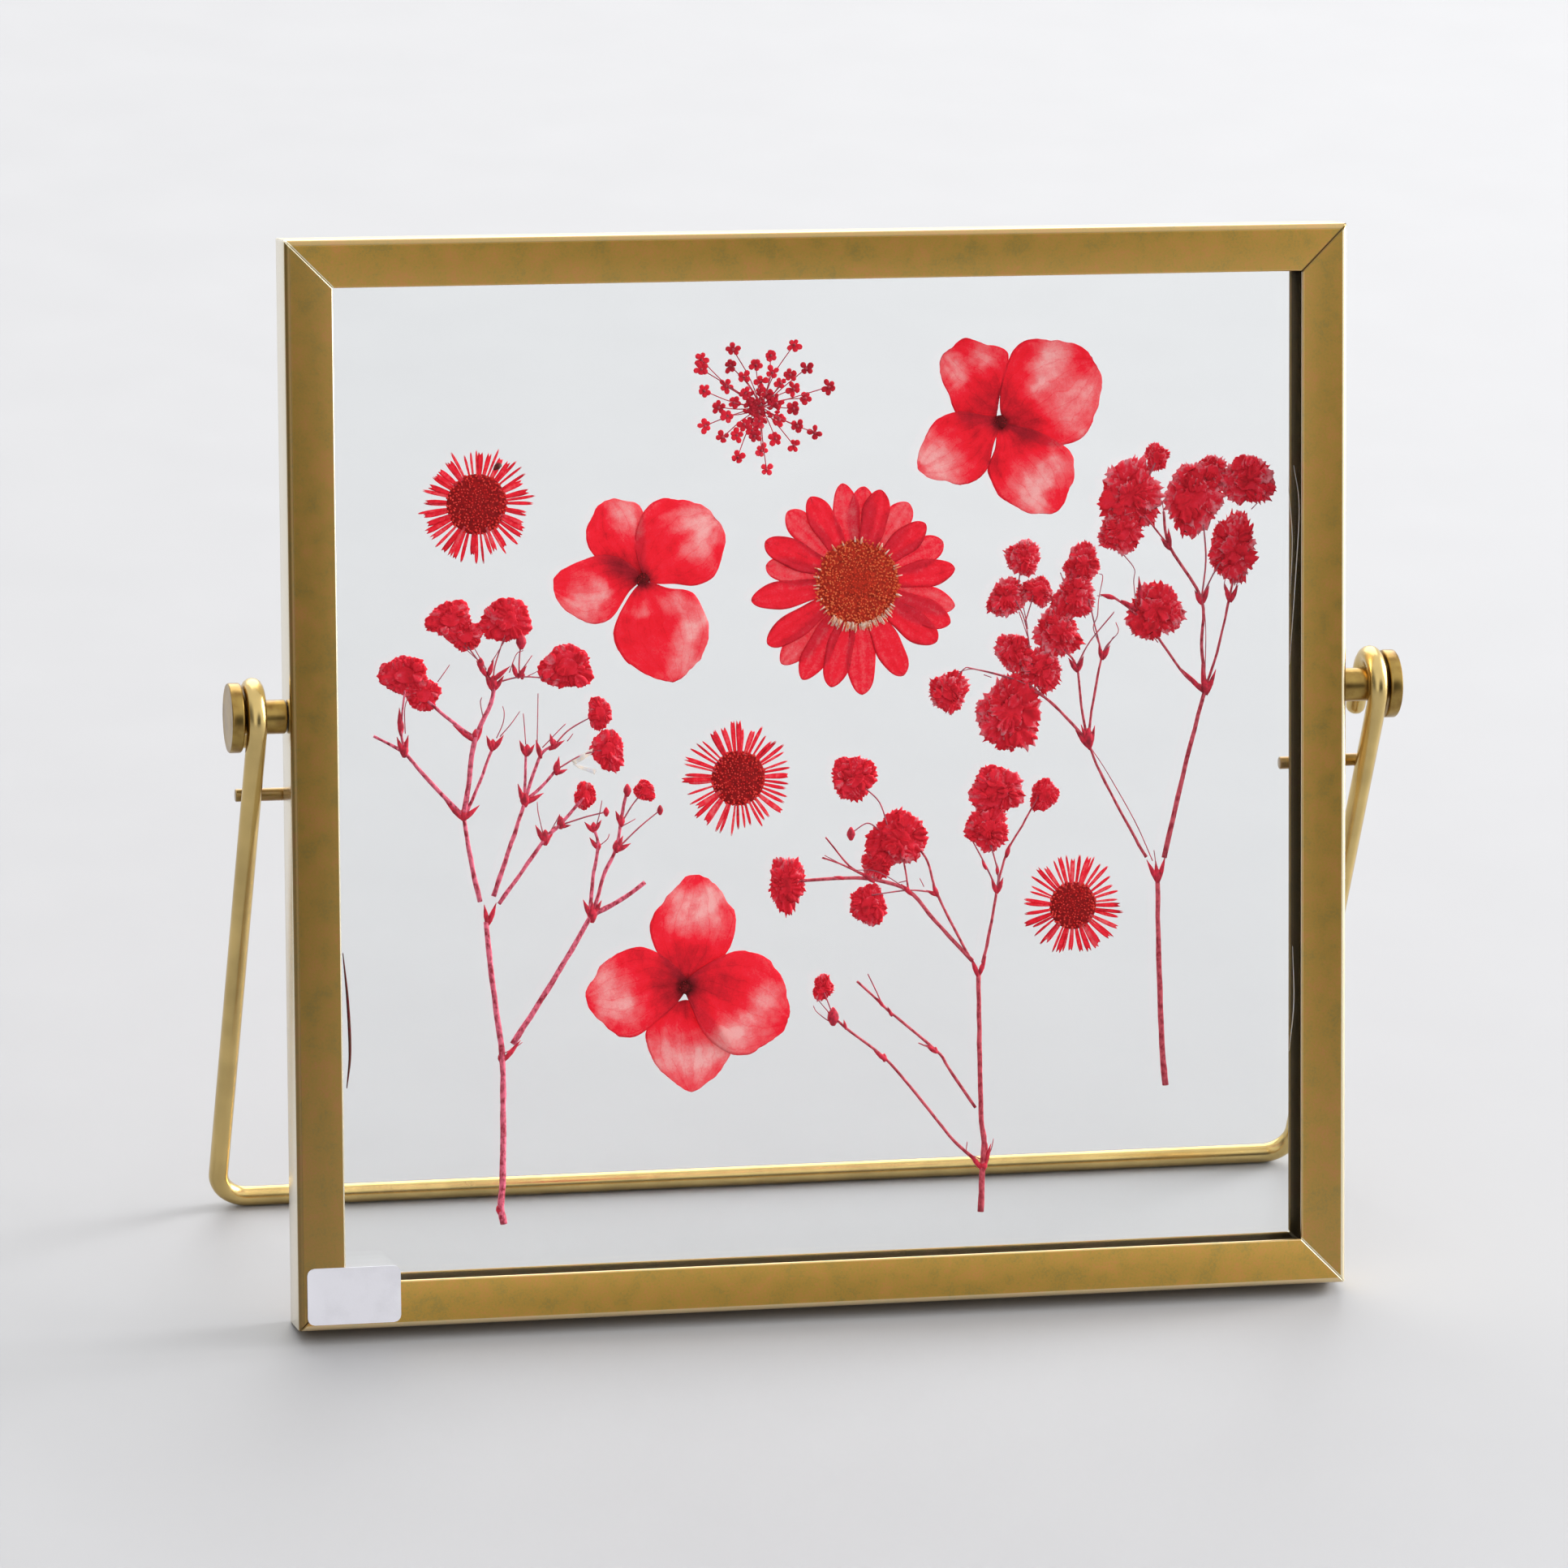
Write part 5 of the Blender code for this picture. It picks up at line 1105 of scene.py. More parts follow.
class PRESSED_OT_rails(bpy.types.Operator):
    """Four lengths of brass channel, mitred at the corners"""
    bl_idname = "pressed.rails"
    bl_label = "Brass rails"

    def execute(self, context):
        sizes = context.scene.pressed_frame_sizes
        brass = antique_brass(context.scene.pressed_frame_colours)
        pattern = channel_rail(sizes)
        middle = Matrix.Translation((0, 0, sizes.side / 2))
        for turns, node in enumerate(("rail_bottom", "rail_left", "rail_top", "rail_right")):
            rail = copy_of(pattern, node, brass)
            painted_light = rail.data.attributes.new("painted_light", "FLOAT", "FACE")
            painted_highlight = rail.data.attributes.new("painted_highlight", "FLOAT", "FACE")
            for face in rail.data.polygons:
                look = self.face_look(face, (-1) ** turns, RAIL_LOOK[node], sizes)
                painted_light.data[face.index].value, painted_highlight.data[face.index].value = look
            turned = middle @ Matrix.Rotation(turns * math.pi / 2, 4, "Y") @ middle.inverted()
            placed(rail, LEANED @ turned)
            finish_piece(rail, "brass_" + node, "frame", "brass_channel", node)
        bpy.data.objects.remove(pattern, do_unlink=True)
        return {"FINISHED"}

    def face_look(self, face, bright_end, look, sizes):
        """One rail face's painted light and painted highlight; one end's mitre is highlighted, one shaded.
        """
        flat, bend, bend_highlight, web_highlight, rim_highlight = look
        x, y, z = face.center
        edge = 0.9 * sizes.edge_round
        mitre = (sizes.side / 2 - abs(x) - z) / math.sqrt(2)
        # A mitre facing the light gets a painted highlight, the one facing away painted shade
        if mitre < edge:
            return (flat, 1.0) if x * bright_end > 0 else (MITRE_SHADE * flat, 0.0)
        # The front lip's edge gets its painted highlight; the back lip's edge, seen through the glass,
        # painted shade
        if z > sizes.lip - edge:
            return (flat, rim_highlight) if y < sizes.depth / 2 else (BACK_RIM_SHADE * flat, 0.0)
        # Painted shade inside the channel
        if min(y, sizes.depth - y, z) > sizes.sheet - 0.1 * MM:
            return INSIDE_SHADE, 0.0
        # The outer face, then the outer bends: each rail's painted light and shade and its painted highlight
        if face.normal.z < -0.9:
            return flat, web_highlight
        if abs(face.normal.y) < 0.98:
            return bend, bend_highlight
        return flat, 0.0


class PRESSED_OT_panes(bpy.types.Operator):
    """Clear glass on the two panes of the model"""
    bl_idname = "pressed.panes"
    bl_label = "Glass panes"

    def execute(self, context):
        glass = float_glass()
        for node in ("glass_front", "glass_back"):
            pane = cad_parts[node]
            for slot in pane.material_slots:
                slot.material = glass
            pane.visible_shadow = False
        return {"FINISHED"}


class PRESSED_OT_label(bpy.types.Operator):
    """A small blank paper label on the lower left corner"""
    bl_idname = "pressed.label"
    bl_label = "Blank label"

    def execute(self, context):
        sizes = context.scene.pressed_frame_sizes
        wide, high = sizes.label_width, sizes.label_height
        low_corner, high_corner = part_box("label")
        middle_x = (low_corner.x + high_corner.x) / 2
        up = (LEANED.inverted() @ Vector(low_corner)).z + high / 2
        middle_y = -0.14 * MM
        curl = 0.05 * MM
        none_selected()
        bpy.ops.mesh.primitive_grid_add(x_subdivisions=26, y_subdivisions=16, size=1.0)
        label = bpy.context.object
        label.scale = (wide, high, 1.0)
        bpy.ops.object.transform_apply()
        round_by = sizes.label_round
        for vert in label.data.vertices:
            over_x = max(0.0, abs(vert.co.x) - (wide / 2 - round_by))
            over_y = max(0.0, abs(vert.co.y) - (high / 2 - round_by))
            reach = math.hypot(over_x, over_y)
            if over_x > 0 and over_y > 0:
                shrink = max(over_x, over_y) / reach
                vert.co.x = math.copysign(wide / 2 - round_by + over_x * shrink, vert.co.x)
                vert.co.y = math.copysign(high / 2 - round_by + over_y * shrink, vert.co.y)
            edge = max(abs(vert.co.x) / wide, abs(vert.co.y) / high) * 2
            vert.co.z = curl * crumple(vert.co.x / MM, vert.co.y / MM, 3) * edge ** 4
        apply_modifier(label, "SOLIDIFY", thickness=sizes.label_thick, offset=0.0)
        smooth_by_angle(label, 50)
        stood = Matrix.Translation((middle_x, middle_y, up)) @ Matrix.Rotation(math.pi / 2, 4, "X")
        placed(label, LEANED @ stood)
        label.data.materials.append(label_paper(context.scene.pressed_frame_colours))
        finish_piece(label, "blank_label", "frame", "label_paper", "label")
        return {"FINISHED"}


class PRESSED_OT_stand(bpy.types.Operator):
    """The folding stand, one bent brass wire with a hook at each end"""
    bl_idname = "pressed.stand"
    bl_label = "Wire stand"

    def execute(self, context):
        sizes = context.scene.pressed_frame_sizes
        hook = sizes.shank_radius + sizes.hook_gap + sizes.wire_radius
        tail_step, tail_points, hook_steps, bend_steps = 0.4 * MM, 20, 24, 12
        side = [(sizes.leg_x, hook, -sizes.hook_tail + tail_step * i) for i in range(tail_points)]
        side = [p for p in side if p[2] < 0]
        for i in range(hook_steps + 1):
            turn = math.pi * i / hook_steps
            side.append((sizes.leg_x, hook * math.cos(turn), hook * math.sin(turn)))
        bend = sizes.bend_radius
        for i in range(bend_steps + 1):
            turn = -math.pi / 2 * i / bend_steps
            side.append((
                sizes.leg_x - bend + bend * math.cos(turn), -hook, bend - LEG_LENGTH + bend * math.sin(turn),
            ))
        whole = side + [(-x, y, z) for x, y, z in reversed(side)]
        radius = sizes.wire_radius
        row = [(place, radius) for place in whole]
        rounded_tip = (0.45, 0.8, 0.96)
        for i, share in enumerate(rounded_tip):
            row[i] = (whole[i], radius * share)
            row[-1 - i] = (whole[-1 - i], radius * share)
        stand = round_strands([row], 6, drawn_wire(context.scene.pressed_frame_colours))
        smooth_by_angle(stand, 60)
        placed(stand, STAND_AXIS)
        finish_piece(stand, "wire_stand", "stand", "brass_wire", "stand")
        return {"FINISHED"}


def turned_screw(sizes):
    """A screw along +X: its head is a bevelled disc, its shank is drawn out of the head's inner face."""
    none_selected()
    thick = sizes.head_outer - sizes.head_inner
    bpy.ops.mesh.primitive_cylinder_add(
        vertices=64, radius=sizes.head_radius, depth=thick, rotation=(0, math.pi / 2, 0),
        location=(sizes.head_inner + thick / 2, 0, 0),
    )
    screw = bpy.context.object
    bpy.ops.object.transform_apply()
    edit(screw)
    pick(screw, "FACE", lambda face: face.normal.x < -0.9)
    bpy.ops.mesh.inset(thickness=sizes.head_radius - sizes.shank_radius)
    reach = sizes.side / 2 - sizes.head_inner + 0.1 * MM
    bpy.ops.mesh.extrude_region_move(TRANSFORM_OT_translate={"value": (reach, 0, 0)})
    pick(screw, "FACE", lambda face: face.normal.x > 0.9)
    rim, dish, ring, boss = 0.9 * MM, 0.12 * MM, 1.2 * MM, 0.05 * MM
    bpy.ops.mesh.inset(thickness=rim, depth=-dish)
    bpy.ops.mesh.inset(thickness=ring, depth=boss)
    bpy.ops.object.mode_set(mode="OBJECT")
    round_edges(screw, 0.3 * MM, 50)
    smooth_by_angle(screw, 30)
    return screw


class PRESSED_OT_screws(bpy.types.Operator):
    """The two flat-headed screws that the stand hangs on"""
    bl_idname = "pressed.screws"
    bl_label = "Brass screws"

    def execute(self, context):
        sizes = context.scene.pressed_frame_sizes
        brass = turned_brass(context.scene.pressed_frame_colours)
        pattern = turned_screw(sizes)
        up = Matrix.Translation((0, sizes.flower_plane, sizes.knob_height))
        for node, turn in (("knob_right", 0.0), ("knob_left", math.pi)):
            screw = copy_of(pattern, node, brass)
            placed(screw, LEANED @ up @ Matrix.Rotation(turn, 4, "Z"))
            finish_piece(screw, "turned_" + node, "frame", "brass_knob", node)
        bpy.data.objects.remove(pattern, do_unlink=True)
        return {"FINISHED"}


class PRESSED_OT_pins(bpy.types.Operator):
    """The stop pins on the back, which hold the legs open"""
    bl_idname = "pressed.pins"
    bl_label = "Stop pins"

    def execute(self, context):
        sizes = context.scene.pressed_frame_sizes
        brass = bpy.data.materials.get(SHEET_BRASS)
        for node in ("stop_pin_right", "stop_pin_left"):
            low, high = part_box(node)
            none_selected()
            bpy.ops.mesh.primitive_cylinder_add(
                vertices=32, radius=sizes.pin_radius, depth=sizes.pin_outer - sizes.pin_inner,
                rotation=(0, math.pi / 2, 0),
            )
            pin = bpy.context.object
            bpy.ops.object.transform_apply()
            round_edges(pin, 0.2 * MM, 50)
            smooth_by_angle(pin, 30)
            # Painted half as bright as the brass colour, with no painted highlight
            even(pin, "painted_light", 0.5)
            even(pin, "painted_highlight", 0.0)
            pin.data.materials.append(brass)
            placed(pin, Matrix.Translation((low + high) / 2))
            finish_piece(pin, "brass_" + node, "frame", "brass_channel", node)
        return {"FINISHED"}


# The pressed flowers

def patches(x, y, where):
    """How strongly a point lies in any of the given patches, from 0 to 1; their edges wander."""
    x += 0.8 * crumple(x, y, 11, 0.5) + 0.3 * crumple(x, y, 13, 1.3)
    y += 0.8 * crumple(x, y, 17, 0.5) + 0.3 * crumple(x, y, 19, 1.3)
    near = sum(math.exp(-((x - px) ** 2 + (y - py) ** 2) / (1.2 * reach) ** 2) for px, py, reach in where)
    return near / (1.0 + 0.25 * near)


def hydrangea_form(outline, heart, level, deep, paler, sizes):
    """A broad petal: the sheet is spread between the two sides of its outline, from heart to far end."""
    loop = smooth_loop(outline, 14)
    start = loop[0]
    far = max(range(len(loop)), key=lambda i: (loop[i] - start).length)
    count = 60
    left = evenly(loop[:far + 1], count)
    right = evenly([start] + loop[:far - 1:-1], count)
    ripple = sizes.lift / MM
    step = sizes.layer / MM

    def form(along, across):
        i = min(int(along * (count - 1) + 0.5), count - 1)
        place = left[i].lerp(right[i], (across + 1) / 2)
        rim = abs(across)
        wave = 0.022 * crumple(*place, level, 0.45) + 0.008 * crumple(*place, level, 1.4)
        place = place + (place - Vector(heart)) * wave * max(rim, along) ** 6
        distance = (place - Vector(heart)).length
        # The dye is even but for its patches, the paler of which are partly painted backlight, and it
        # gathers in veins, at the heart and along the rim
        tint_value = 0.50 + 0.24 * patches(*place, deep) - 0.44 * patches(*place, paler)
        tint_value += 0.06 * crumple(*place, 23, 1.1) + 0.03 * math.sin(16 * across + 3 * along)
        tint_value += 0.16 * math.exp(-(distance / 5.0) ** 2) + 0.55 * math.exp(-(distance / 1.25) ** 2)
        tint_value += 0.10 * max(0.0, (max(rim, along) - 0.93) / 0.07)
        rise = level * step + ripple * crumple(*place, level, 0.22) * min(1.0, distance / 5)
        return (*place, rise), tint_value

    return form


def knobbly(middle, reach, count, size, draw, tint, flat, material):
    """A domed disc of packed florets on a sunflower spiral; each is a small blunt cone."""
    none_selected()
    bpy.ops.mesh.primitive_cone_add(vertices=6, radius1=0.5, radius2=0.16, depth=1.0, location=(0, 0, 0.5))
    pattern = bpy.context.object
    bpy.ops.object.transform_apply()
    work = bmesh.new()
    layer = work.verts.layers.float.new("tint")
    # Each floret is lighter at its tip and darker at its base, and the cushion beneath is darker still:
    # painted shade between the florets
    overlap, sunk, lighter_tip = 1.25, 0.25, 0.28
    for i in range(count):
        share = math.sqrt((i + 0.5) / count)
        turn = i * math.pi * (3 - math.sqrt(5)) + draw.uniform(-0.15, 0.15)
        across = reach * share * (1 + draw.uniform(-0.03, 0.03))
        start = len(work.verts)
        work.from_mesh(pattern.data)
        work.verts.ensure_lookup_table()
        x, y = middle[0] + across * math.cos(turn), middle[1] + across * math.sin(turn)
        height = flat * (1 - 0.30 * share ** 3) * draw.uniform(0.8, 1.1)
        tip = Vector((draw.uniform(-0.3, 0.3), draw.uniform(-0.3, 0.3))) * size
        tip += heading(turn) * size * 0.5 * share
        own = tint(share) + draw.uniform(-0.13, 0.13)
        for vert in work.verts[start:]:
            up = vert.co.z
            vert.co = Vector((
                x + vert.co.x * size * overlap + tip.x * up, y + vert.co.y * size * overlap + tip.y * up,
                height * (up - sunk),
            )) * MM
            vert[layer] = own + lighter_tip * up
    bpy.data.objects.remove(pattern, do_unlink=True)
    florets = object_from(work, "florets")
    none_selected()
    bpy.ops.mesh.primitive_uv_sphere_add(segments=32, ring_count=12, radius=1.0)
    cushion = bpy.context.object
    cushion.scale = (reach * 1.02 * MM, reach * 1.02 * MM, flat * 0.6 * MM)
    cushion.location = (middle[0] * MM, middle[1] * MM, 0.0)
    bpy.ops.object.transform_apply()
    # The cushion's darker tint is painted shade in the gaps between the florets
    even(cushion, "tint", tint(0.6) - 0.25)
    whole = joined([florets, cushion])
    whole.data.materials.append(material)
    return whole


class PRESSED_OT_hydrangeas(bpy.types.Operator):
    """Three flat hydrangea florets of four broad petals"""
    bl_idname = "pressed.hydrangeas"
    bl_label = "Hydrangeas"

    def execute(self, context):
        colours = context.scene.pressed_frame_colours
        sizes = context.scene.pressed_flower_sizes
        petal = dyed_petal(
            "dyed hydrangea petal", petal_stops(colours), patch_mm=3.6, patchiness=0.30, speckle=0.30,
            vein_count=12.0, vein_depth=0.09, thin=0.55,
        )
        button = florets_material("hydrangea heart", colours.heart, colours.heart, colours.crimson)
        for node, outlines in HYDRANGEAS.items():
            heart = HEARTS[node]
            forms = [
                hydrangea_form(outline, heart, i - 1.5, DEEP_PATCHES[node], PALER_PATCHES[node], sizes)
                for i, outline in enumerate(outlines)
            ]
            petals = petals_from((44, 30), forms, sizes.petal, petal)
            draw = random.Random(node)
            middle = knobbly(heart, 0.95, 26, 0.3, draw, lambda share: 0.35, 0.5, button)
            finish_flower([petals, middle], node + "_dried", "petals", node)
        return {"FINISHED"}


def daisy_form(direction, reach, layer, draw, sizes):
    """A long petal: narrow at the disc, widest past its middle, with a blunt notched tip and two folds."""
    along_it = heading(math.radians(direction))
    across_it = Vector((-along_it.y, along_it.x))
    start = DAISY_DISC - 1.3
    widest = 0.60
    notch = draw.uniform(0.02, 0.08)
    blunt = draw.uniform(1.8, 2.6)
    notch_at = draw.uniform(-0.35, 0.35)
    sway = draw.uniform(-0.3, 0.3)
    seed = draw.uniform(0, 50)
    half = DAISY_HALF_WIDTH * draw.uniform(0.94, 1.06)
    rise = (layer - 0.6) * 2.4 * sizes.layer / MM

    def form(along, across):
        reached = 1 - (1 - along) ** 1.7
        split = notch * math.exp(-((across - notch_at) / 0.25) ** 2) * reached ** 10
        radius = start + (reach - start) * reached * (1 - split)
        if reached < widest:
            width = half * (0.52 + 0.48 * math.sin(reached / widest * math.pi / 2))
        else:
            width = half * max(0.0, 1 - ((reached - widest) / 0.40) ** blunt) ** 0.55
        width *= 1 + 0.05 * math.sin(reached * 11 + seed + across)
        place = Vector(DAISY_MIDDLE) + along_it * radius + across_it * (across * width + sway * reached ** 2)
        folds = 0.04 * math.cos(across * 2 * math.pi)
        # Petals in front took more dye, and every petal is darker at its sides and by the disc
        tint_value = 0.37 + 0.24 * layer + 0.05 * math.cos(across * 9 + seed) + 0.06 * crumple(*place, seed, 1.2)
        tint_value += 0.20 * max(0.0, (abs(across) - 0.80) / 0.20) + 0.10 * max(0.0, 0.25 - reached)
        lift = rise * min(1.0, 0.2 + reached * 2) + folds + 0.05 * crumple(*place, seed)
        return (*place, lift), tint_value

    return form


class PRESSED_OT_daisy(bpy.types.Operator):
    """A flat daisy with a granular disc and two layers of petals"""
    bl_idname = "pressed.daisy"
    bl_label = "Daisy"

    def execute(self, context):
        colours = context.scene.pressed_frame_colours
        sizes = context.scene.pressed_flower_sizes
        draw = random.Random(21)
        petal = dyed_petal(
            "dyed daisy petal", petal_stops(colours), patch_mm=1.6, patchiness=0.35, speckle=0.45,
            vein_count=9.0, vein_depth=0.06, thin=0.5,
        )
        disc = florets_material("daisy disc florets", colours.disc_dark, colours.disc, colours.disc_tip)
        bristle = stalk_material("undyed bristle", colours.bristle, colours.disc_tip)
        forms = [daisy_form(*row, draw, sizes) for row in sorted(DAISY_PETALS, key=lambda row: row[2])]
        petals = petals_from((20, 12), forms, sizes.petal, petal)
        size = sizes.floret / MM
        middle = knobbly(
            DAISY_MIDDLE, DAISY_DISC + 0.1, 760, size, draw,
            lambda share: 0.10 + 0.42 * min(1.0, share * 1.9), 0.66, disc,
        )
        rows = []
        # Undyed bristles stand out all round the disc, and most of them at its lower edge
        bristle_count, below_count, lower_edge, all_round = 96, 56, (232, 318), (0, 360)
        for i in range(bristle_count):
            below = i < below_count
            turn = math.radians(draw.uniform(*(lower_edge if below else all_round)))
            ray = heading(turn)
            inner = Vector(DAISY_MIDDLE) + ray * draw.uniform(5.4, 5.8)
            outer = Vector(DAISY_MIDDLE) + ray * draw.uniform(6.3, 7.1 if below else 6.6)
            rise = draw.uniform(0.2, 0.46)
            rows.append([strand_point(inner, rise, 0.13), strand_point(outer, rise, 0.07)])
        bristles = round_strands(rows, 0, bristle)
        finish_flower([petals, middle, bristles], "daisy_dried", "petals", "daisy")
        return {"FINISHED"}


def ray_form(middle, disc, reach, turn, half, draw):
    """One thin ray floret: nearly straight sides and a tip split in two."""
    seed = draw.uniform(0, 50)
    bend = draw.uniform(-0.5, 0.5)
    fork = draw.uniform(0.04, 0.14)
    rise = draw.uniform(-0.2, 0.2)
    own = draw.uniform(-0.12, 0.14)

    def form(along, across):
        radius = disc * 0.82 + (reach - disc * 0.82) * along * (1 - fork * (1 - abs(across)) * along ** 6)
        narrow = 0.80 if half < 0.28 else 0.50
        aside = across * half * (0.55 + 0.75 * along) * (1 - narrow * along ** 5) + bend * along ** 2 * 0.5
        place = Vector(middle) + heading(turn) * radius
        place += Vector((-math.sin(turn), math.cos(turn))) * aside
        tint_value = 0.46 + own + 0.16 * abs(across) + 0.08 * along
        return (*place, rise + 0.05 * crumple(*place, seed, 1.0)), tint_value

    return form


class PRESSED_OT_asters(bpy.types.Operator):
    """Three small asters with a dark button and many thin rays"""
    bl_idname = "pressed.asters"
    bl_label = "Asters"

    def execute(self, context):
        colours = context.scene.pressed_frame_colours
        sizes = context.scene.pressed_flower_sizes
        petal = dyed_petal(
            "dyed aster ray", petal_stops(colours), patch_mm=1.0, patchiness=0.8, speckle=0.4,
            vein_count=3.0, vein_depth=0.08, thin=0.5,
        )
        button = florets_material(
            "aster button florets", colours.button_dark, colours.button, colours.button_tip,
        )
        for node, (middle, disc, reach, rays) in ASTERS.items():
            draw = random.Random(node)
            forms = []
            for i in range(rays):
                turn = math.tau * (i + draw.uniform(-0.32, 0.32)) / rays
                half = draw.choice((0.18, 0.22, 0.27, 0.33, 0.40))
                forms.append(ray_form(middle, disc, reach * draw.uniform(0.90, 1.08), turn, half, draw))
            petals = petals_from((12, 4), forms, sizes.petal, petal)
            florets = knobbly(
                middle, disc - 0.05, round(17 * disc ** 2), 0.40, draw,
                lambda share: 0.34 + 0.10 * share, 0.64, button,
            )
            finish_flower([petals, florets], node + "_dried", "asters", node)
        return {"FINISHED"}


def lobe_form(place, turn, reach, width, rise, own):
    """One rounded lobe of a tiny floret."""
    def form(along, across):
        wide = width * math.sin(math.pi * (0.04 + 0.90 * along)) ** 0.7 * (0.45 + 0.75 * along)
        x = place[0] + math.cos(turn) * reach * along - math.sin(turn) * wide * across
        y = place[1] + math.sin(turn) * reach * along + math.cos(turn) * wide * across
        return (x, y, rise + 0.10 * along * (1 - across ** 2)), 0.78 + own - 0.20 * along
    return form


class PRESSED_OT_umbel(bpy.types.Operator):
    """A lacy umbel of tiny florets on hair-thin rays"""
    bl_idname = "pressed.umbel"
    bl_label = "Lace umbel"

    def execute(self, context):
        colours = context.scene.pressed_frame_colours
        sizes = context.scene.pressed_flower_sizes
        draw = random.Random(5)
        petal = dyed_petal(
            "dyed lace floret", petal_stops(colours), patch_mm=0.8, patchiness=0.5, speckle=0.3,
            vein_count=2.0, vein_depth=0.0, thin=0.4,
        )
        ray = stalk_material("umbel ray", colours.stem_brown, colours.stem_dark)
        forms = []
        rows = []
        reach = sizes.lace / MM
        for place in UMBEL_FLORETS:
            lobes = draw.choice((4, 5, 5))
            first = draw.uniform(0, math.tau)
            rise = draw.uniform(0.0, 0.25)
            own = draw.uniform(-0.1, 0.2)
            for k in range(lobes):
                turn = first + math.tau * (k + draw.uniform(-0.15, 0.15)) / lobes
                long = reach * draw.uniform(0.65, 1.05)
                forms.append(lobe_form(place, turn, long, reach * draw.uniform(0.32, 0.44), rise, own))
            middle = Vector(UMBEL_MIDDLE)
            aside = (Vector(place) - middle).orthogonal() * draw.uniform(-0.06, 0.06)
            path = smooth_path([middle, middle.lerp(Vector(place), 0.5) + aside, place], 4)
            rows.append([strand_point(point, 0.05, 0.075) for point in path])
            rows.append([strand_point(place, rise - 0.1, 0.30), strand_point(place, rise + 0.16, 0.16)])
        hub_lobes, hub_reach = 60, 2.3
        for _ in range(hub_lobes):
            turn = draw.uniform(0, math.tau)
            away = hub_reach * math.sqrt(draw.random())
            place = (UMBEL_MIDDLE[0] + away * math.cos(turn), UMBEL_MIDDLE[1] + away * math.sin(turn))
            forms.append(lobe_form(place, draw.uniform(0, math.tau), 0.8, 0.3, draw.uniform(0.0, 0.3), 0.1))
        petals = petals_from((5, 4), forms, sizes.frill, petal)
        rays = round_strands(rows, 1, ray)
        finish_flower([petals, rays], "lace_umbel_dried", "petals", "lace_umbel")
        return {"FINISHED"}


def blossom_forms(middle, wide, high, look, draw):
    """The body of one frilled blossom, and scraps of petal pressed over it inside a lobed outline."""
    deeper, ragged, paler = look
    half_w, half_h = wide / 2, high / 2
    size = math.sqrt(half_w * half_h)
    phases = [draw.uniform(0, math.tau) for _ in range(3)]

    def outline(turn, share):
        lobes = 0.07 * math.sin(2 * turn + phases[0]) + 0.08 * math.sin(3 * turn + phases[1])
        lobes += 0.05 * math.sin(5 * turn + phases[2])
        reach = share * (0.97 + lobes)
        across, up = half_w * reach * math.cos(turn), half_h * reach * math.sin(turn)
        return Vector((middle[0] + across, middle[1] + up))

    def body(level, share, own):
        seed = draw.uniform(0, 90)

        def form(along, across):
            u, v = 2 * along - 1, across
            x, y = u * math.sqrt(1 - v * v / 2), v * math.sqrt(1 - u * u / 2)
            turn, out = math.atan2(y, x), math.hypot(x, y)
            teeth = 0.025 * math.sin(17 * turn + seed) + 0.02 * math.sin(31 * turn + 2 * seed)
            place = outline(turn, out * share * (1 + (1 + ragged) * teeth * out ** 4))
            crease = crumple(*place, seed, 0.9)
            # The red deepens where the crumple rises: painted shade standing in for its creases
            tint_value = 0.43 + own + 0.20 * crease - 0.4 * paler * out ** 6
            return (*place, level + 0.10 * crease), max(0.0, tint_value)

        return form

    # Three bodies, each smaller, nearer the viewer and deeper in colour; then scraps around the rim, and
    # scraps over the middle, more of them on a ragged blossom
    bodies = [body(-0.30, 0.98, deeper), body(-0.02, 0.72, deeper + 0.04), body(0.22, 0.42, deeper + 0.12)]
    rim = round(9 + 3.2 * size)
    forms = []
    for k in range(rim):
        turn = math.tau * (k + draw.uniform(-0.4, 0.4)) / rim
        tip = outline(turn, draw.uniform(0.93, 1.07))
        base = outline(turn + draw.uniform(-0.5, 0.5), draw.uniform(0.25, 0.55))
        forms.append(frill_form(
            base, tip, size * draw.uniform(0.20, 0.34), draw.uniform(-0.42, 0.05),
            deeper + draw.uniform(-0.20, 0.16), paler, ragged, draw,
        ))
    over = round((6 + 1.5 * size ** 1.6) * (0.3 + 0.8 * min(1.0, ragged)))
    for _ in range(over):
        turn = draw.uniform(0, math.tau)
        share = draw.uniform(0.0, 0.6)
        base = outline(turn, share)
        swing = turn + draw.uniform(-1.3, 1.3)
        reach = size * draw.uniform(0.30, 0.55)
        tip = base + heading(swing) * reach
        own = deeper + 0.22 - 0.30 * share + draw.uniform(-0.26, 0.22)
        forms.append(frill_form(
            base, tip, reach * draw.uniform(0.35, 0.6), draw.uniform(-0.1, 0.46), own, paler, ragged, draw,
        ))
    return bodies, forms


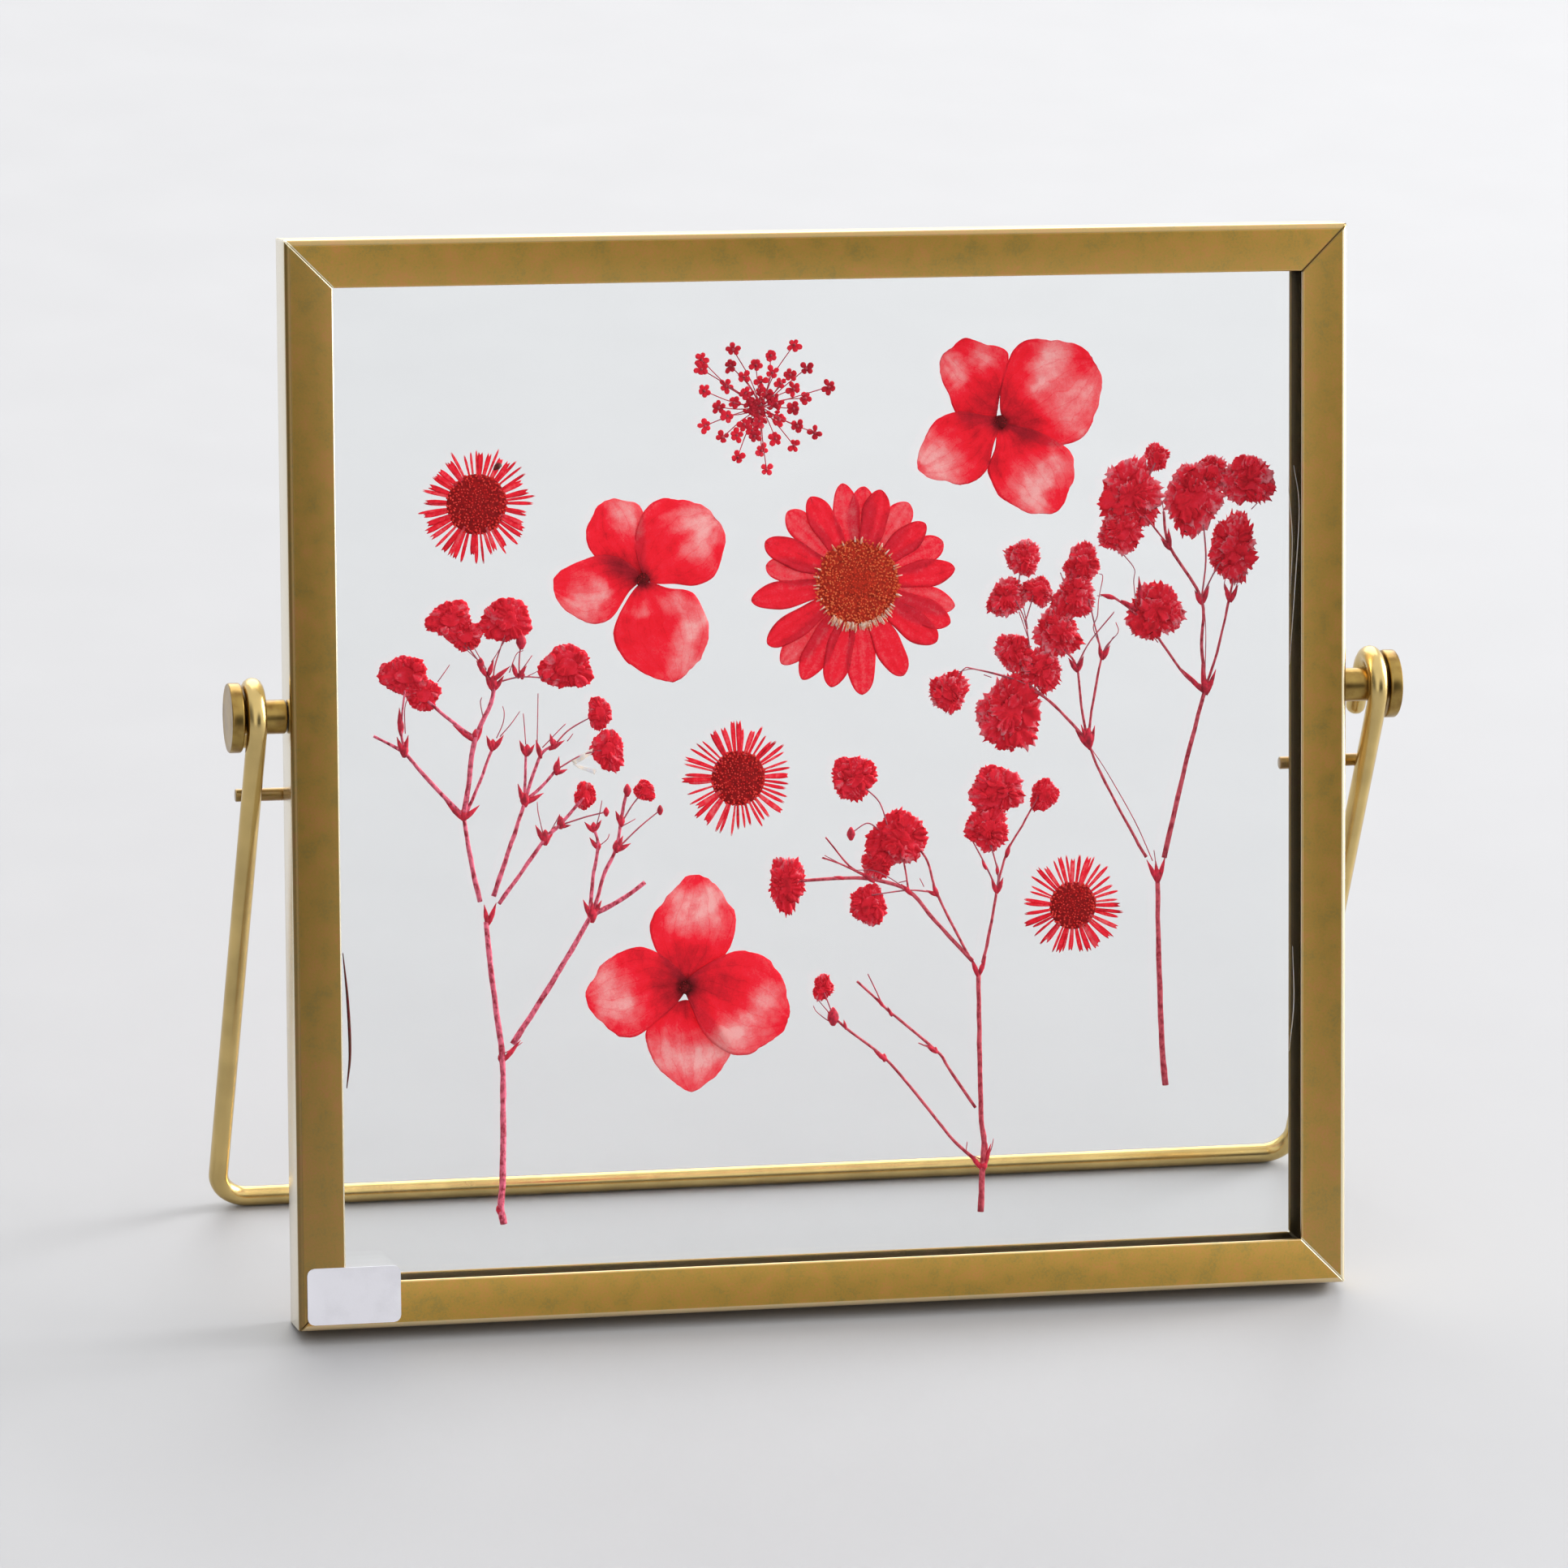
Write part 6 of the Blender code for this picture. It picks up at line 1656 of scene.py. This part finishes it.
def frill_form(base, tip, half, rise, own, paler, ragged, draw):
    """A fan-shaped scrap of petal with a torn, frilled tip and a fold or two."""
    along_it = tip - base
    across_it = Vector((-along_it.y, along_it.x)).normalized()
    teeth = draw.uniform(1.6, 3.2)
    phase = draw.uniform(0, math.tau)
    fold = draw.uniform(0.8, 2.4)
    seed = draw.uniform(0, 90)
    fade = paler * draw.choice((0.0, 0.3, 0.6, 1.0, 1.4))
    between_panes = 0.56

    def form(along, across):
        tear = 0.12 * math.sin(across * teeth * math.pi + phase)
        tear += 0.09 * math.sin(across * teeth * 7.3 + seed)
        reach = along * (1 + ragged * tear * along ** 3 - 0.22 * across ** 2 * along ** 2)
        width = half * (0.35 + 0.65 * math.sin(along * 2.2))
        edge = 1 + ragged * 0.16 * math.sin(along * 11 + seed) * abs(across) ** 3
        place = base + along_it * reach + across_it * across * width * edge
        ruffle = 0.15 * math.sin(across * fold * math.pi + phase) * (0.3 + along)
        # The red follows each fold a little out of step, so one flank of each fold is darker: painted shade
        tint_value = 0.46 + own - 0.6 * fade * along ** 4 + 0.12 * math.sin(across * fold * math.pi + phase + 1.2)
        return (*place, max(-between_panes, min(between_panes, rise + ruffle))), max(0.0, tint_value)

    return form


def stalk_row(width, points, draw, thin=False):
    """A stalk's centreline and radius, a little uneven and thinner towards its end."""
    path = smooth_path(points, 5)
    last = len(path) - 1
    wander = draw.uniform(-0.12, 0.12)
    seed = draw.uniform(0, 90)
    row = []
    for i, place in enumerate(path):
        share = i / last
        radius = width / 2 * (1 - 0.22 * share) * (1 + 0.12 * crumple(*place, seed, 0.8))
        sway = 0.0 if thin else 0.06 * crumple(*place, seed, 0.5)
        height = wander + 0.1 * math.sin(share * math.pi)
        row.append(strand_point((place.x + sway, place.y), height, radius))
    return row


def knot_row(x, y, wide, high):
    """A swelling on a stalk, as a short fat spindle."""
    shape = [(-0.5, 0.26), (-0.32, 0.52), (-0.1, 0.76), (0.12, 0.70), (0.34, 0.42), (0.5, 0.14)]
    half = min(wide, 0.85 * high) / 2
    return [strand_point((x, y + t * high), 0.0, half * w) for t, w in shape]


def bract_row(start, end):
    """A pointed bract: fattest a third of the way along."""
    a, b = Vector(start), Vector(end)
    reach = (b - a).length
    shape = [(0.0, 0.08), (0.2, 0.15), (0.45, 0.17), (0.7, 0.11), (0.88, 0.05), (1.0, 0.02)]
    return [strand_point(a.lerp(b, t), 0.12, w * min(reach, 2.2)) for t, w in shape]


class PRESSED_OT_sprigs(bpy.types.Operator):
    """Three sprigs: stalks, knots, bracts, threads and frilled blossoms"""
    bl_idname = "pressed.sprigs"
    bl_label = "Sprigs"

    def execute(self, context):
        colours = context.scene.pressed_frame_colours
        sizes = context.scene.pressed_flower_sizes
        stops = [
            (0.0, colours.frill_tip), (0.32, colours.frill), (0.60, colours.frill_deep),
            (1.0, colours.frill_dark),
        ]
        blossom = dyed_petal(
            "dyed blossom petal", stops, patch_mm=0.8, patchiness=0.9, speckle=0.5, vein_count=4.0,
            vein_depth=0.06, thin=0.20,
        )
        stalks = {
            "sprig_left": stalk_material("pink dried stalk", colours.stem_pink, colours.stem_dark),
            "sprig_middle": stalk_material("brown dried stalk", colours.stem_brown, colours.stem_dark),
        }
        stalks["sprig_right"] = stalks["sprig_middle"]
        thread = stalk_material("hair-thin stalk", colours.thread, colours.stem_brown)
        bract = stalk_material("dyed bract", colours.bract, colours.stem_dark)
        for node, (lines, heads) in SPRIGS.items():
            sprig = "_".join(node.split("_")[:2])
            draw = random.Random(node)
            parts = []
            thick = [stalk_row(width, points, draw) for width, points in lines if width >= THIN_STALK]
            thin = [
                stalk_row(width, points, draw, True) for width, points in lines if width < THIN_STALK
            ]
            thin += [stalk_row(sizes.thread / MM, points, draw, True) for points in THREADS.get(node, [])]
            red = [bract_row(start, end) for start, end in BRACTS.get(node, [])]
            bodies, scraps = [], []
            for x, y, wide, high in heads:
                if max(wide, high) < BUD_LIMIT:
                    red.append(knot_row(x, y, wide, high))
                else:
                    more_bodies, more_scraps = blossom_forms((x, y), wide, high, SPRIG_LOOK[sprig], draw)
                    bodies += more_bodies
                    scraps += more_scraps
            for rows, material, roundness in ((thick, stalks[sprig], 3), (thin, thread, 1), (red, bract, 2)):
                if rows:
                    part = round_strands(rows, roundness, material)
                    only(part)
                    bpy.ops.object.shade_smooth()
                    parts.append(part)
            for divisions, forms in (((16, 16), bodies), ((5, 8), scraps)):
                if forms:
                    parts.append(petals_from(divisions, forms, sizes.frill, blossom))
            finish_flower(parts, node + "_dried", "sprigs", node)
        return {"FINISHED"}


def scrap_form(corners, rise):
    """A crumpled scrap with four corners."""
    def form(along, across):
        near = Vector(corners[0]).lerp(Vector(corners[1]), (across + 1) / 2)
        far = Vector(corners[3]).lerp(Vector(corners[2]), (across + 1) / 2)
        place = near.lerp(far, along)
        return (*place, rise + 0.15 * crumple(*place, 4, 0.9)), 0.0
    return form


class PRESSED_OT_loose_bits(bpy.types.Operator):
    """A cream scrap, pale fibres and dry flecks that lie between the panes"""
    bl_idname = "pressed.loose_bits"
    bl_label = "Loose bits"

    def execute(self, context):
        colours = context.scene.pressed_frame_colours
        cream = stalk_material("undyed scrap", colours.bristle, colours.paper)
        dark = stalk_material("dry brown fleck", colours.fleck, colours.heart)
        forms = [scrap_form(corners, 0.1) for corners in CREAM_SCRAPS]
        pieces = [petals_from((8, 8), forms, 0.06 * MM, cream)]
        for lines, material in ((PALE_FIBRES, cream), (DARK_SLIVERS, dark)):
            rows = []
            for width, points in lines:
                path = smooth_path(points, 6)
                swell = [0.3 + 0.7 * math.sin(math.pi * i / (len(path) - 1)) for i in range(len(path))]
                rows.append([strand_point(p, 0.2, width / 2 * wide) for p, wide in zip(path, swell)])
            pieces.append(round_strands(rows, 1, material))
        finish_flower(pieces, "loose_bits", "petals")
        return {"FINISHED"}


class PRESSED_OT_stage(bpy.types.Operator):
    """The pale table, the soft lights and the camera"""
    bl_idname = "pressed.stage"
    bl_label = "Stage"

    def execute(self, context):
        none_selected()
        bpy.ops.mesh.primitive_grid_add(x_subdivisions=8, y_subdivisions=8, size=TABLE_SIZE)
        table = bpy.context.object
        table.name = "table_top"
        table.data.materials.append(table_top(context.scene.pressed_frame_colours))
        world = bpy.data.worlds.new("soft room")
        context.scene.world = world
        world.use_nodes = True
        tree = world.node_tree
        sky = tree.nodes["Background"]
        sky.inputs["Color"].default_value = (1.0, 1.0, 1.0, 1.0)
        towards = add_node(tree, "TexCoord", "Generated", {})
        front = self.dim_side(tree, towards, *MIRRORED, DIM_FRONT * SKY, SKY)
        left = self.dim_side(tree, towards, *DARK_SIDE, DIM_LEFT, 1.0)
        both = add_node(tree, "Math", 0, {0: front, 1: left}, operation="MULTIPLY")
        tree.links.new(both, sky.inputs["Strength"])
        for name, lamp in LAMPS.items():
            self.lamp(name, *lamp)
        context.scene.view_settings.view_transform = "Standard"
        self.camera(context)
        return {"FINISHED"}

    def dim_side(self, tree, towards, direction, outer, inner, least, most):
        """How much of the room's light comes from where a ray points: less near the given direction."""
        near = add_node(tree, "VectorMath", "Value", {0: towards, 1: direction}, operation="DOT_PRODUCT")
        return add_node(
            tree, "MapRange", "Result",
            {"Value": near, "From Min": outer, "From Max": inner, "To Min": most, "To Max": least},
            interpolation_type="SMOOTHSTEP",
        )

    def lamp(self, name, place, size, power):
        """A square soft box that faces the frame."""
        lamp = bpy.data.lights.new(name, "AREA")
        lamp.shape = "SQUARE"
        lamp.size = size
        lamp.energy = power
        thing = bpy.data.objects.new(name, lamp)
        thing.location = place
        thing.rotation_euler = (VIEW_AIM - Vector(place)).to_track_quat("-Z", "Y").to_euler()
        bpy.context.scene.collection.objects.link(thing)

    def camera(self, context):
        """Looks down at the frame from its left, with a slight roll."""
        ahead = Vector((
            math.sin(VIEW_TURN) * math.cos(VIEW_TILT), math.cos(VIEW_TURN) * math.cos(VIEW_TILT),
            -math.sin(VIEW_TILT),
        ))
        level = Vector((math.cos(VIEW_TURN), -math.sin(VIEW_TURN), 0.0))
        upright = level.cross(ahead)
        right = level * math.cos(VIEW_ROLL) + upright * math.sin(VIEW_ROLL)
        up = upright * math.cos(VIEW_ROLL) - level * math.sin(VIEW_ROLL)
        place = VIEW_AIM + right * VIEW_ASIDE + up * VIEW_UP - ahead * VIEW_DISTANCE
        data = bpy.data.cameras.new("camera")
        data.lens = LENS
        data.sensor_width = SENSOR_WIDTH
        data.clip_start = 0.01
        camera = bpy.data.objects.new("camera", data)
        camera.matrix_world = Matrix.Translation(place) @ Matrix((right, up, -ahead)).transposed().to_4x4()
        context.scene.collection.objects.link(camera)
        context.scene.camera = camera


OPERATORS = (
    PRESSED_OT_rails, PRESSED_OT_panes, PRESSED_OT_label, PRESSED_OT_stand, PRESSED_OT_screws,
    PRESSED_OT_pins, PRESSED_OT_hydrangeas, PRESSED_OT_daisy, PRESSED_OT_asters, PRESSED_OT_umbel,
    PRESSED_OT_sprigs, PRESSED_OT_loose_bits, PRESSED_OT_stage,
)
GROUPS = (PressedFrameSizes, PressedFlowerSizes, PressedFrameColours)


class PRESSED_PT_panel(bpy.types.Panel):
    """Lists the pieces of the frame and the values that shape them"""
    bl_idname = "PRESSED_PT_panel"
    bl_label = "Pressed flower frame"
    bl_space_type = "VIEW_3D"
    bl_region_type = "UI"
    bl_category = "Pressed flowers"

    def draw(self, context):
        pieces = self.layout.column(align=True)
        for operator in OPERATORS:
            pieces.operator(operator.bl_idname)
        for group in ("pressed_frame_sizes", "pressed_flower_sizes", "pressed_frame_colours"):
            values = getattr(context.scene, group)
            column = self.layout.column()
            for name in values.__annotations__:
                column.prop(values, name)


def register():
    for cls in (*GROUPS, *OPERATORS, PRESSED_PT_panel):
        bpy.utils.register_class(cls)
    bpy.types.Scene.pressed_frame_sizes = bpy.props.PointerProperty(type=PressedFrameSizes)
    bpy.types.Scene.pressed_flower_sizes = bpy.props.PointerProperty(type=PressedFlowerSizes)
    bpy.types.Scene.pressed_frame_colours = bpy.props.PointerProperty(type=PressedFrameColours)


def unregister():
    del bpy.types.Scene.pressed_frame_colours
    del bpy.types.Scene.pressed_flower_sizes
    del bpy.types.Scene.pressed_frame_sizes
    for cls in reversed((*GROUPS, *OPERATORS, PRESSED_PT_panel)):
        bpy.utils.unregister_class(cls)


def main():
    register()
    for operator in OPERATORS:
        group, name = operator.bl_idname.split(".")
        getattr(getattr(bpy.ops, group), name)()
    none_selected()


if __name__ == "__main__":
    main()
